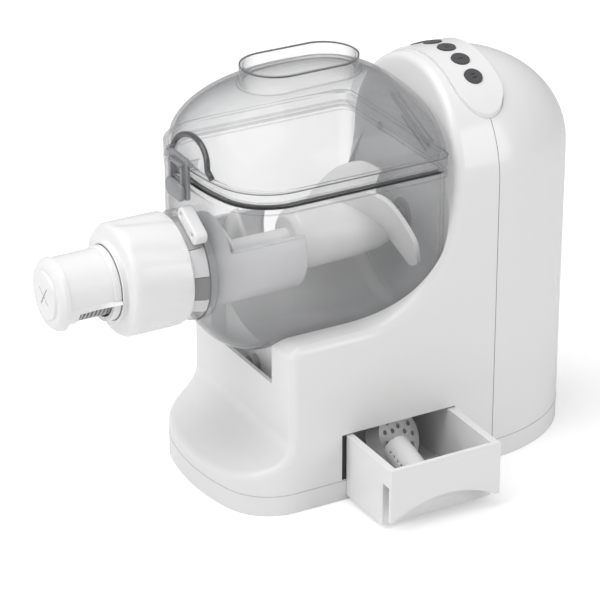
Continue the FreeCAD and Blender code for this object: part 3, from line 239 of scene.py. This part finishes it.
def strand(name, path, radius, material, closed=False, sides=8):
    """A thin round bead along a path."""
    points = [Vector(p) for p in path]
    count = len(points)
    rings = []
    for i, here in enumerate(points):
        ahead = points[(i + 1) % count] if closed or i < count - 1 else here
        behind = points[i - 1] if closed or i > 0 else here
        along = (ahead - behind).normalized()
        side = along.cross(Vector((0.31, 0.17, 0.93))).normalized()
        up = along.cross(side)
        turns = [2 * math.pi * k / sides for k in range(sides)]
        rings.append([here + (side * math.cos(a) + up * math.sin(a)) * radius for a in turns])
    faces = []
    for i in range(count if closed else count - 1):
        j = (i + 1) % count
        for k in range(sides):
            m = (k + 1) % sides
            faces.append((i * sides + k, i * sides + m, j * sides + m, j * sides + k))
    if not closed:
        faces.append(tuple(range(sides)))
        faces.append(tuple((count - 1) * sides + k for k in range(sides)))
    return mesh_piece(name, [p for ring in rings for p in ring], faces, material)


seam_finish = Finish("seam_shadow")
seam_finish.drive("Base Color", seam_finish.two_tone(seam_finish.noise(60), (0.16,) * 3, (0.24,) * 3))
seam_finish.drive("Roughness", seam_finish.noise(90) * 0.1 + 0.7)
seam_material = seam_finish.material
pale_seam = white_moulding("pale_seam", 0.5, 0.5)
ARCH_CENTRE = 218
SEAM_HALF = 73.2
SEAM_Y = 60
arch = [(SEAM_HALF, SEAM_Y, z) for z in range(16, ARCH_CENTRE, 6)]
for angle in range(0, 181, 4):
    a = math.radians(angle)
    arch.append((SEAM_HALF * math.cos(a), SEAM_Y, ARCH_CENTRE + SEAM_HALF * math.sin(a)))
arch += [(-SEAM_HALF, SEAM_Y, z) for z in range(214, 15, -6)]
outside_panel = [p for p in arch if p[2] < ARCH_CENTRE + 46]
for side in (1, -1):
    run = [p for p in outside_panel if p[0] * side > 0]
    bead = strand(f"cover_seam_{'right' if side > 0 else 'left'}", run, 0.42, seam_material)
    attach(bead, "housing")
band = []
for a in range(-90, 91, 3):
    band.append((73.4 * math.sin(math.radians(a)), 60 + 91.4 * math.cos(math.radians(a)), 15.5))
band.reverse()
left_front = [(-73.4, y, 15.5) for y in range(54, -96, -8)]
mid_y = 24 - math.sqrt(130 ** 2 - 33.5 ** 2)
lean = math.degrees(math.atan2(mid_y - 24, 33.5))
nose_band = [
    (-33.5 + 39.9 * math.cos(math.radians(a)), mid_y + 39.9 * math.sin(math.radians(a)), 15.5)
    for a in [180 - i * lean / 8 for i in range(9)]
]
front_band = [
    (169.9 * math.cos(math.radians(a)), 24 + 169.9 * math.sin(math.radians(a)), 15.5)
    for a in [-180 - lean + i * (2 * lean + 180) / 10 for i in range(11)]
]
right_corner = [
    (33.5 + 39.9 * math.cos(math.radians(a)), mid_y + 39.9 * math.sin(math.radians(a)), 15.5)
    for a in [lean - i * lean / 8 for i in range(9)]
]
right_front = [(73.4, y, 15.5) for y in range(-96, -61, 8)] + [(73.4, -61.5, 15.5)]
right_back = [(73.4, 28, 15.5), (73.4, 44, 15.5), (73.4, 60, 15.5)]
low_seam = strand(
    "base_seam", right_back + band + left_front + nose_band + front_band + right_corner + right_front,
    0.36, pale_seam,
)
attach(low_seam, "housing")


# Bowl and lid: clear smoke-tinted plastic about two and a half millimetres thick. It looks darker where the
# eye meets the wall at a slant and passes through more of it.
def tinted_plastic(name, pale, deep, clear_share, edge_share, roughness):
    finish = Finish(name, IOR=1.5, Coat_Weight=0.6, Coat_Roughness=0.03)
    slant = finish.add("ShaderNodeLayerWeight", inputs={"Blend": 0.42}, out=1)
    slant = slant * slant
    haze = finish.noise(14, 3)
    finish.drive("Base Color", finish.two_tone(slant, pale, deep))
    finish.drive("Roughness", haze * 0.04 + roughness)
    finish.drive("Alpha", slant * (edge_share - clear_share) + clear_share + haze * 0.02)
    return finish.material


lid_plastic = tinted_plastic(
    "smoke_clear_plastic", (0.46, 0.465, 0.48), (0.06, 0.06, 0.066), 0.06, 0.95, 0.06
)
dress(lid_plastic, "bowl")
dome_plastic = tinted_plastic(
    "smoke_dome_plastic", (0.34, 0.345, 0.36), (0.05, 0.05, 0.055), 0.09, 0.98, 0.06
)
dress(dome_plastic, "lid")
latch_plastic = tinted_plastic(
    "latch_clear_plastic", (0.36, 0.365, 0.38), (0.03, 0.03, 0.033), 0.62, 0.97, 0.12
)
frosted = tinted_plastic("frosted_plastic", (0.9, 0.9, 0.92), (0.9, 0.9, 0.92), 0.66, 0.97, 0.4)
dress(frosted, "extruder_barrel")

# Gasket: a clear bead; its lower lip is painted black along the front and the drawer side only, as painted
# shade for the dark line under the lid's edge, and stays clear beyond, where that line fades.
gasket = Finish("gasket_bead")
place = gasket.add("ShaderNodeTexCoord", out="Object")
across, depth, height = (
    gasket.add("ShaderNodeSeparateXYZ", inputs={"Vector": place}, out=axis) for axis in range(3)
)
lip = gasket.add("ShaderNodeMath", {"operation": "LESS_THAN"}, {0: height, 1: 0.2358})
near = gasket.add("ShaderNodeMapRange", inputs={0: across, 1: -0.045, 2: -0.02, 3: 0.0, 4: 1.0})
front = gasket.add("ShaderNodeMapRange", inputs={0: depth, 1: 0.012, 2: 0.019, 3: 1.0, 4: 0.0})
lip = lip * near * front
gasket.drive("Base Color", gasket.two_tone(lip, (0.5, 0.5, 0.51), (0.004, 0.004, 0.005)))
gasket.drive("Alpha", lip * 0.82 + 0.15)
gasket.drive("Roughness", gasket.noise(80) * 0.1 + 0.45)
dress(gasket.material, "bowl_gasket")


# Lock block: a small rounded white plate beside the neck with two round holes, which holds the nose to the
# bowl.
NOSE = 173.4


def prism(name, outline, low, high, place, material, width=0.8):
    """A plate with this (u, v) outline, from low to high along w; place turns u, v, w into the row frame."""
    count = len(outline)
    points = [place(u, v, low) for u, v in outline] + [place(u, v, high) for u, v in outline]
    faces = [tuple(range(count - 1, -1, -1)), tuple(range(count, 2 * count))]
    faces += [(i, (i + 1) % count, count + (i + 1) % count, count + i) for i in range(count)]
    return soften(mesh_piece(name, points, faces, material), width)


def carve(thing, cutter):
    """Takes the cutter's space out of a piece."""
    tool = thing.modifiers.new("carved", "BOOLEAN")
    tool.object = cutter
    tool.solver = "EXACT"
    bpy.context.view_layer.objects.active = thing
    bpy.ops.object.modifier_apply(modifier=tool.name)
    bpy.data.objects.remove(cutter)


def round_outline(corners, radius, steps=6):
    """A polygon's outline with its corners rounded."""
    points = []
    count = len(corners)
    for i in range(count):
        here = Vector(corners[i])
        back_way = (Vector(corners[i - 1]) - here).normalized()
        ahead = (Vector(corners[(i + 1) % count]) - here).normalized()
        half = back_way.angle(ahead) / 2
        centre = here + (back_way + ahead).normalized() * (radius / math.sin(half))
        start = here + back_way * (radius / math.tan(half)) - centre
        end = here + ahead * (radius / math.tan(half)) - centre
        swing = start.angle_signed(end)
        for k in range(steps + 1):
            a = -swing * k / steps
            c, q = math.cos(a), math.sin(a)
            points.append(tuple(centre + Vector((start.x * c - start.y * q, start.x * q + start.y * c))))
    return points


LOCK = math.radians(29)


def on_lock(u, v, w):
    """u across the block, v outwards from the nose axis, w toward the nose."""
    return (
        u * math.cos(LOCK) + v * math.sin(LOCK), -150.5 - w, NOSE - u * math.sin(LOCK) + v * math.cos(LOCK)
    )


lock_outline = round_outline([(-15, 39), (15, 39), (14.6, 49.4), (-14.6, 49.8)], 4.2)
lock = prism("lock_plate", lock_outline, -2.4, 6.6, on_lock, gloss_white, 1.2)
for u in (-10.5, 8.5):
    ring = [(u + 1.9 * math.cos(a * math.pi / 8), 44.3 + 1.9 * math.sin(a * math.pi / 8)) for a in range(16)]
    hole = prism("hole", ring, 4.6, 8, on_lock, gloss_white, 0)
    hole.modifiers.clear()
    carve(lock, hole)
    # A dark disc deep in each hole: painted shade inside the hole.
    floor = prism("lock_hole_painted_shade", ring, 4.7, 4.9, on_lock, seam_material, 0)
    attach(floor, "bowl")
lock.modifiers.clear()
soften(lock, 1.0)
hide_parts("neck_lock_block")
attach(lock, "bowl")


# Cutter hood and its cap: a white sleeve open at the lower side, with a lip along the opening, over a ribbed
# disc holder; the cap in front has a moulded cross.
def turned(name, profile, material, start=0.0, sweep=360.0, steps=96, swell=None, width=0.6):
    """A piece turned about the nose axis from closed (y, radius) points, angles from +X towards +Z."""
    closed = abs(sweep - 360) < 0.01
    turns = steps if closed else steps + 1
    count = len(profile)
    points = []
    for i in range(turns):
        a = math.radians(start + sweep * i / steps)
        for y, radius in profile:
            reach = radius + (swell(y, radius, a) if swell else 0)
            points.append((reach * math.cos(a), y, NOSE + reach * math.sin(a)))
    faces = []
    for i in range(steps):
        j = (i + 1) % turns
        for k in range(count):
            m = (k + 1) % count
            faces.append((i * count + k, i * count + m, j * count + m, j * count + k))
    if not closed:
        faces.append(tuple(range(count)))
        faces.append(tuple((turns - 1) * count + k for k in range(count)))
    thing = mesh_piece(name, points, faces, material)
    if width:
        soften(thing, width)
    return thing


hood_sleeve = turned(
    "hood_sleeve", [(-247, 22.9), (-247, 24.9), (-211, 25.3), (-211, 22.9)], gloss_white, -8, 196, 80,
    width=0.5,
)
hood_collar = turned("hood_collar", [
    (-214.5, 22.9), (-214.5, 26), (-213.9, 26.4), (-209.2, 26.4), (-209.2, 22.9),
], gloss_white, width=0.3)
for side, angle in (("right", -8), ("left", 188)):
    a = math.radians(angle)
    out = Vector((math.cos(a), 0, math.sin(a)))
    along = Vector((math.sin(a), 0, -math.cos(a))) * (1 if side == "right" else -1)
    lip = []
    for y, drop, reach in ((-246.6, 3.6, 25.6), (-226, 2.0, 26.4), (-209.6, 0.4, 29.8)):
        for o, d in ((22.9, -1.0), (reach - 1.4, drop - 1.2), (reach, drop), (25.2, -1.0)):
            lip.append(out * o + along * d + Vector((0, y, NOSE)))
    faces = [(0, 1, 2, 3), (8, 11, 10, 9)]
    for i in (0, 4):
        faces += [(i + k, i + (k + 1) % 4, i + 4 + (k + 1) % 4, i + 4 + k) for k in range(4)]
    flap = soften(mesh_piece(f"hood_lip_{side}", lip, faces, gloss_white), 0.5)
    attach(flap, "hood")
holder_grey = white_moulding("holder_grey", 0.42, 0.4)
ribs = []
for i in range(9):
    y = -236 + i * 3
    ribs += [(y, 21.4), (y + 1.5, 21.4), (y + 1.5, 19.4), (y + 3, 19.4)]
holder = turned("disc_holder", [(-236, 6)] + ribs + [(-209, 19.4), (-209, 6)], holder_grey, width=0.25)
for thing in (hood_sleeve, hood_collar, holder):
    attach(thing, "hood")
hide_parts("cutter_hood")

cap = turned("cross_cap", [
    (-238, 0.01), (-238, 22.6), (-246.4, 22.6), (-246.6, 25.9), (-249.4, 25.5), (-252.4, 22.6), (-253.2, 19),
    (-253, 17.4), (-254.6, 16.4), (-255, 12),
    (-255, 0.01),
], gloss_white, width=1.0)
for angle in (35, -55):
    a = math.radians(angle)
    bar = []
    for y in (-256, -253.9):
        for u, v in ((-8.5, -0.55), (8.5, -0.55), (8.5, 0.55), (-8.5, 0.55)):
            bar.append((u * math.cos(a) + v * math.sin(a), y, NOSE - u * math.sin(a) + v * math.cos(a)))
    cutter = mesh_piece("cross_bar", bar, [
        (0, 1, 2, 3), (7, 6, 5, 4), (0, 4, 5, 1), (1, 5, 6, 2), (2, 6, 7, 3), (3, 7, 4, 0)
    ], seam_material, False)
    carve(cap, cutter)
    a_bar = [(x, -254.0 + (0.2 if y > -255 else 0), z) for x, y, z in bar]
    shade = mesh_piece(f"cross_shade_{'a' if angle > 0 else 'b'}", a_bar, [
        (0, 1, 2, 3), (7, 6, 5, 4), (0, 4, 5, 1), (1, 5, 6, 2), (2, 6, 7, 3), (3, 7, 4, 0)
    ], seam_material, False)
    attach(shade, "hood")
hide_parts("hood_cap")
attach(cap, "hood")


# Locking ring: a heavy white ring with broad shallow finger scoops, turned by hand to lock the nose.
def scoops(y, radius, a):
    if radius < 37 or y < -203 or y > -161:
        return 0
    wave = math.cos(8 * (a + (y + 182) * 0.006)) * 0.5 + 0.5
    return -1.5 * wave ** 3 * min(1, (y + 203) / 8)


outer = [(-205, 29.5), (-205, 35.8), (-203.6, 38.4), (-201, 39.8)]
outer += [(-201 + 40 * i / 10, 40) for i in range(1, 10)] + [(-161.4, 39.8), (-160, 38.4)]
inner = [(-160, 36.6), (-200.2, 36.6), (-200.2, 26.6), (-209, 26.6), (-209, 28.6), (-205.4, 28.9)]
locking = turned("grip_ring", outer + inner, gloss_white, steps=192, swell=scoops, width=0.5)
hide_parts("locking_ring")
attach(locking, "ring")


# Neck: behind the ring, opaque panes on the clear neck paint its light and shade: a soft painted shade at the
# top, a pale painted light over a dark painted shade, and a pale band below; and a thin dark line where the
# neck's flange meets the bowl.
def plain_moulding(name, colour, roughness, metallic=0.0):
    finish = Finish(name, Metallic=metallic)
    mottle = finish.noise(60, 3)
    finish.drive("Base Color", finish.two_tone(mottle, tuple(c * 0.92 for c in colour), colour))
    finish.drive("Roughness", mottle * 0.12 + roughness)
    finish.relief(finish.noise(1500, 2), 0.00003, 0.3)
    return finish.material


# Grey panes that stand on the clear neck as painted light and painted shade; the darkest grey also colours
# the tower plug, and the soft grey the tower bars.
dark_grey_and_neck_shade = plain_moulding("neck_shade_and_plug_grey", (0.26, 0.26, 0.265), 0.3)
neck_light_paint = plain_moulding("neck_painted_light", (0.7, 0.7, 0.71), 0.3)
soft_grey_and_neck_shade = plain_moulding("neck_soft_shade_and_bar_grey", (0.42, 0.42, 0.425), 0.3)
for name, low, high, material in (
    ("neck_upper_shadow", 40, 78, soft_grey_and_neck_shade), ("neck_painted_light", 10, 39.4, neck_light_paint),
    ("neck_shade_and_plug_grey", -16, 9.4, dark_grey_and_neck_shade), ("neck_lower_band", -34, -16.6, neck_light_paint),
):
    pane = turned(name, [
        (-159.6, 36.3), (-159.6, 37.2), (-152.4, 39.3), (-149.2, 39.5), (-149.2, 39.1), (-151.9, 39.1),
        (-152.1, 36.3),
    ], material, low, high - low, 24, width=0.2)
    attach(pane, "bowl")


def round_nose(radius, y, angles):
    """Points round the nose axis, in millimetres, from angles in degrees."""
    turns = [math.radians(a) for a in angles]
    return [(radius * math.cos(a), y, NOSE + radius * math.sin(a)) for a in turns]


flange_line = strand("neck_flange_line", round_nose(39.2, -148.6, range(58, -64, -4)), 0.7, seam_material)
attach(flange_line, "bowl")


# Mixing paddle and auger: one satin white moulding; a stout hub with two swept blades that widen to the back,
# and a screw that runs forward into the barrel.
def swept_blade(name, turns, rows=28):
    """A blade from the hub out, given as (y, angle, outer radius) stations from front to back."""
    points = []
    for i in range(rows + 1):
        t = i / rows * (len(turns) - 1)
        k = min(int(t), len(turns) - 2)
        f = t - k
        f = f * f * (3 - 2 * f) * 0.5 + f * 0.5
        y, angle, reach = (turns[k][j] * (1 - f) + turns[k + 1][j] * f for j in range(3))
        a = math.radians(angle)
        for j in range(9):
            radius = 18 + (reach - 18) * j / 8
            curl = a - 0.12 * (j / 8) ** 2
            lean = y + 5 * (j / 8) ** 2
            points.append((radius * math.cos(curl), lean, NOSE + radius * math.sin(curl)))
    faces = [
        (i * 9 + j, i * 9 + j + 1, (i + 1) * 9 + j + 1, (i + 1) * 9 + j)
        for i in range(rows) for j in range(8)
    ]
    blade = mesh_piece(name, points, faces, satin_white)
    thick = blade.modifiers.new("thickness", "SOLIDIFY")
    thick.thickness = 3.6 * MM
    thick.offset = 0
    soften(blade, 1.2)
    return blade


hub = turned("paddle_hub", [
    (-68.5, 0.01), (-68.5, 17), (-64, 21.5), (-56, 22.5), (-20, 22), (0, 20), (10, 17), (16, 13), (17.5, 10),
    (17.5, 0.01),
], satin_white, width=1.2)
blade_a = swept_blade("paddle_blade_right", [
    (-44, 118, 19), (-28, 84, 34), (-12, 46, 47), (0, 10, 54), (5, -10, 52), (7, -24, 42),
])
blade_b = swept_blade("paddle_blade_left", [
    (-64, 240, 20), (-50, 214, 36), (-32, 184, 46), (-12, 152, 47), (0, 128, 43), (8, 108, 34),
])
screw_core = turned("screw_core", [(-190, 0.01), (-190, 9), (-66, 9), (-66, 0.01)], satin_white, width=0.8)
screw = []
steps = 120
for i in range(steps + 1):
    y = -188 + 90 * i / steps
    a = 2 * math.pi * (y + 188) / 34
    for radius, side in ((8.4, -2.0), (29.6, -1.4), (30, 0), (29.6, 1.4), (8.4, 2.0)):
        screw.append((radius * math.cos(a), y + side, NOSE - radius * math.sin(a)))
faces = [
    (i * 5 + k, i * 5 + (k + 1) % 5, (i + 1) * 5 + (k + 1) % 5, (i + 1) * 5 + k)
    for i in range(steps) for k in range(5)
]
faces += [(0, 1, 2, 3, 4), tuple(steps * 5 + k for k in range(4, -1, -1))]
flight = mesh_piece("screw_flight", screw, faces, satin_white)
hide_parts("auger")
for thing in (hub, blade_a, blade_b, screw_core, flight):
    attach(thing, "auger")


# Barrel end: the thicker rolled edge round the frosted barrel's open mouth inside the bowl.
mouth_edge = round_nose(31.9, -70.6, range(27, -208, -5))
side_edge = [(28.6, y, 188.2) for y in range(-126, -69, 8)]
other_edge = [(-28.6, y, 188.2) for y in range(-71, -128, -8)]
barrel_edge = strand("barrel_rolled_edge", side_edge + mouth_edge[1:-1] + other_edge, 1.5, frosted)
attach(barrel_edge, "bowl")


# Lid front: the dark rounded arch of the recess that the latch hangs in.
def on_skin(name, x, z):
    """The place on a CAD node's front skin at this x and z, in millimetres."""
    hit, place, normal, face = node[name].ray_cast(Vector((x * MM, -0.3, z * MM)), Vector((0, 1, 0)))
    return (place / MM) + Vector((0, -0.2, 0)) if hit else None


smoke_edge = tinted_plastic("smoke_edge_plastic", (0.06, 0.06, 0.065), (0.14, 0.14, 0.15), 0.8, 0.95, 0.15)
recess = []
for i in range(25):
    a = math.radians(-14 + 208 * i / 24)
    flare = 1 + 0.28 * max(0.0, -math.sin(a) * 3 + 0.25)
    place = on_skin("lid", 25 * flare * math.cos(a), 250.5 + 15.5 * math.sin(a))
    if place is not None:
        recess.append(place)
recess_rim = strand("latch_recess_rim", recess, 2.1, smoke_edge, sides=10)
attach(recess_rim, "lid")


# Lid band: the thin dark line where the dome meets its straight band.
line = []
for i in range(84):
    a = math.radians(-108 + 2 * i)
    way = Vector((math.cos(a), math.sin(a), 0))
    hit, place, normal, face = node["lid"].ray_cast(Vector((0, -0.06, 0.2453)) + way * 0.3, -way)
    if hit:
        line.append(place / MM + way * 0.1)
band_line = strand("lid_band_line", line, 0.42, seam_material)
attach(band_line, "lid")


# Feed funnel: the darker moulded edges at its mouth and where it meets the dome.
def stadium(radius, height=None):
    """The funnel's outline at this radius, at a height or else laid on the dome."""
    points = []
    for i in range(48):
        a = math.radians(7.5 * i)
        x, y = radius * math.cos(a), radius * math.sin(a) + (-39 if 0 < i < 24 else -77)
        if height is None:
            above = Vector((x * MM, y * MM, 0.33))
            hit, place, normal, face = node["lid"].ray_cast(above, Vector((0, 0, -1)))
            points.append(Vector((x, y, place.z / MM + 0.1)))
        else:
            points.append(Vector((x, y, height)))
    return points


mouth = strand("funnel_mouth_edge", stadium(24.2, 306.8), 0.62, smoke_edge, closed=True)
root = strand("funnel_root_edge", stadium(26.4), 0.45, dome_plastic, closed=True)
for thing in (mouth, root):
    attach(thing, "lid")


# Latch: a clear flap with a framed window and a rounded finger tab, hung on the steel pin.
def on_front(u, v, w):
    return (u, -w, v)


flap_outline = round_outline([(-13.6, 256.4), (13.6, 256.4), (13.6, 226), (-13.6, 226)], 2.6)
tab = round_outline([(-13.2, 238), (13.2, 238), (11.5, 224.2), (-11.5, 224.2)], 6)
latch = prism("latch_flap", flap_outline, 149.6, 152.2, on_front, latch_plastic, 0.7)
window = round_outline([(-6.5, 249), (6.5, 249), (6.5, 238.5), (-6.5, 238.5)], 1)
hole = prism("hole", window, 145, 160, on_front, latch_plastic, 0)
hole.modifiers.clear()
latch.modifiers.clear()
carve(latch, hole)
soften(latch, 0.5)
tongue = prism("latch_tab", tab, 152, 156.5, on_front, latch_plastic, 2.0)
frame_bars = [
    prism("latch_bar", round_outline(corners, 0.7, 3), 151, 154.6, on_front, latch_plastic, 0.4)
    for corners in (
        [(-9.5, 251.5), (-6.8, 251.5), (-6.8, 236), (-9.5, 236)],
        [(6.8, 251.5), (9.5, 251.5), (9.5, 236), (6.8, 236)],
        [(-9.5, 252), (9.5, 252), (9.5, 249.2), (-9.5, 249.2)],
    )
]
catch_outline = round_outline([(-5, 246.5), (5, 246.5), (5, 241), (-5, 241)], 0.8, 3)
catch = prism("latch_catch", catch_outline, 148, 150.4, on_front, seam_material, 0.4)
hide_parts("latch")
for thing in [latch, tongue, catch] + frame_bars:
    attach(thing, "latch")


# Tower front behind the lid: a small dark plug and the grey bars of the fascia that show through the lid.
middle = on_skin("front_housing", -32.7, 229)
boss = []
for rise, radius in ((0.6, 3.3), (-0.5, 3.3), (-0.9, 2.7), (-0.9, 0.01)):
    for k in range(24):
        a = 2 * math.pi * k / 24
        boss.append((middle.x + radius * math.cos(a), middle.y + rise, middle.z + radius * math.sin(a)))
faces = [(r * 24 + k, r * 24 + (k + 1) % 24, (r + 1) * 24 + (k + 1) % 24, (r + 1) * 24 + k)
         for r in range(3) for k in range(24)]
plug = mesh_piece("tower_plug", boss, faces, dark_grey_and_neck_shade)
fascia = [plug]
for i, (x0, z0, x1, z1, thick) in enumerate((
    (-20, 258, 34, 238, 1.8), (-14, 262, 38, 243, 1.0), (-4, 247, 30, 233, 1.0),
)):
    run = [on_skin("front_housing", x0 + (x1 - x0) * k / 12, z0 + (z1 - z0) * k / 12) for k in range(13)]
    fascia.append(strand(f"tower_bar_{i + 1}", [p for p in run if p is not None], thick, soft_grey_and_neck_shade))
for thing in fascia:
    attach(thing, "housing")


# Key marks: a small made-up black sign on each round key, flat on its top.
def on_key(key):
    """Turns u, v, w on a key's top into the row frame."""
    points = [key.matrix_world @ v.co / MM for v in key.data.vertices]
    centre = sum(points, Vector()) / len(points)
    out = Vector((centre.x, 0, centre.z - ARCH_CENTRE)).normalized()
    top = max((p - Vector((0, centre.y, ARCH_CENTRE))).dot(out) for p in points)
    along = Vector((out.z, 0, -out.x))

    def place(u, v, w):
        return Vector((0, centre.y + v, ARCH_CENTRE)) + out * (top + w) + along * u
    return place


ink = plain_moulding("key_ink", (0.012, 0.012, 0.012), 0.5)
for i in range(1, 6):
    place = on_key(node[f"button_{i}"])
    bars = ([(-0.45, -2, 0.45, 2)], [(-2, -1.7, -1.1, 1.7), (1.1, -1.7, 2, 1.7)])[i % 2 if i > 1 else 0]
    for k, (u0, v0, u1, v1) in enumerate(bars):
        corners = [(u0, v0), (u1, v0), (u1, v1), (u0, v1)]
        sign = prism(f"key_mark_{i}_{k + 1}", corners, -0.4, 0.06, place, ink, 0)
        sign.modifiers.clear()
        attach(sign, f"button_{i}")


# Drawer gap: a thin dark plate on the housing that stands for the shadowed gap beside the pulled drawer.
drawer_points = [node["drawer"].matrix_world @ v.co / MM for v in node["drawer"].data.vertices]
low_y = min(p.y for p in drawer_points)
high_z = max(p.z for p in drawer_points)
gap_finish = plain_moulding("drawer_gap_shadow", (0.035, 0.035, 0.036), 0.8)
gap = prism(
    "drawer_gap", [(low_y - 3.6, 16.5), (low_y - 0.3, 16.5), (low_y - 0.3, high_z), (low_y - 3.6, high_z)],
    73.3, 73.7, lambda u, v, w: (w, u, v), gap_finish, 0,
)
gap.modifiers.clear()
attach(gap, "housing")


# Small parts: rubber feet and seal, the grey keys, black mouldings, steel, bronze, nylon gears and boards.
rubber = plain_moulding("black_rubber", (0.03, 0.03, 0.032), 0.6)
dress(rubber, "rubber_foot_1", "rubber_foot_2", "rubber_foot_3", "rubber_foot_4")
grey = plain_moulding("dark_grey_keys", (0.075, 0.075, 0.08), 0.4)
dress(grey, "button_1", "button_2", "button_3", "button_4", "button_5")
mid_grey = plain_moulding("release_grey", (0.42, 0.42, 0.43), 0.4)
dress(mid_grey, "release_button", "shaft_seal")
black = plain_moulding("black_moulding", (0.04, 0.04, 0.045), 0.45)
dress(black, "tact_switches", "cord_inlet", "cooling_fan", "gearbox_housing", "gearbox_cover")
steel = plain_moulding("turned_steel", (0.56, 0.56, 0.57), 0.3, 1.0)
dress(steel, "latch_pin", "base_screws", "compound_pin", "drive_shaft")
dress(steel, "motor_pinion", "motor_rotor", "motor_can")
bronze = plain_moulding("sintered_bronze", (0.5, 0.34, 0.18), 0.4, 1.0)
dress(bronze, "front_bush", "rear_bush")
nylon = plain_moulding("gear_nylon", (0.7, 0.68, 0.6), 0.45)
dress(nylon, "output_gear", "compound_gear")
board = plain_moulding("circuit_board", (0.04, 0.16, 0.07), 0.35)
dress(board, "control_board", "power_board")
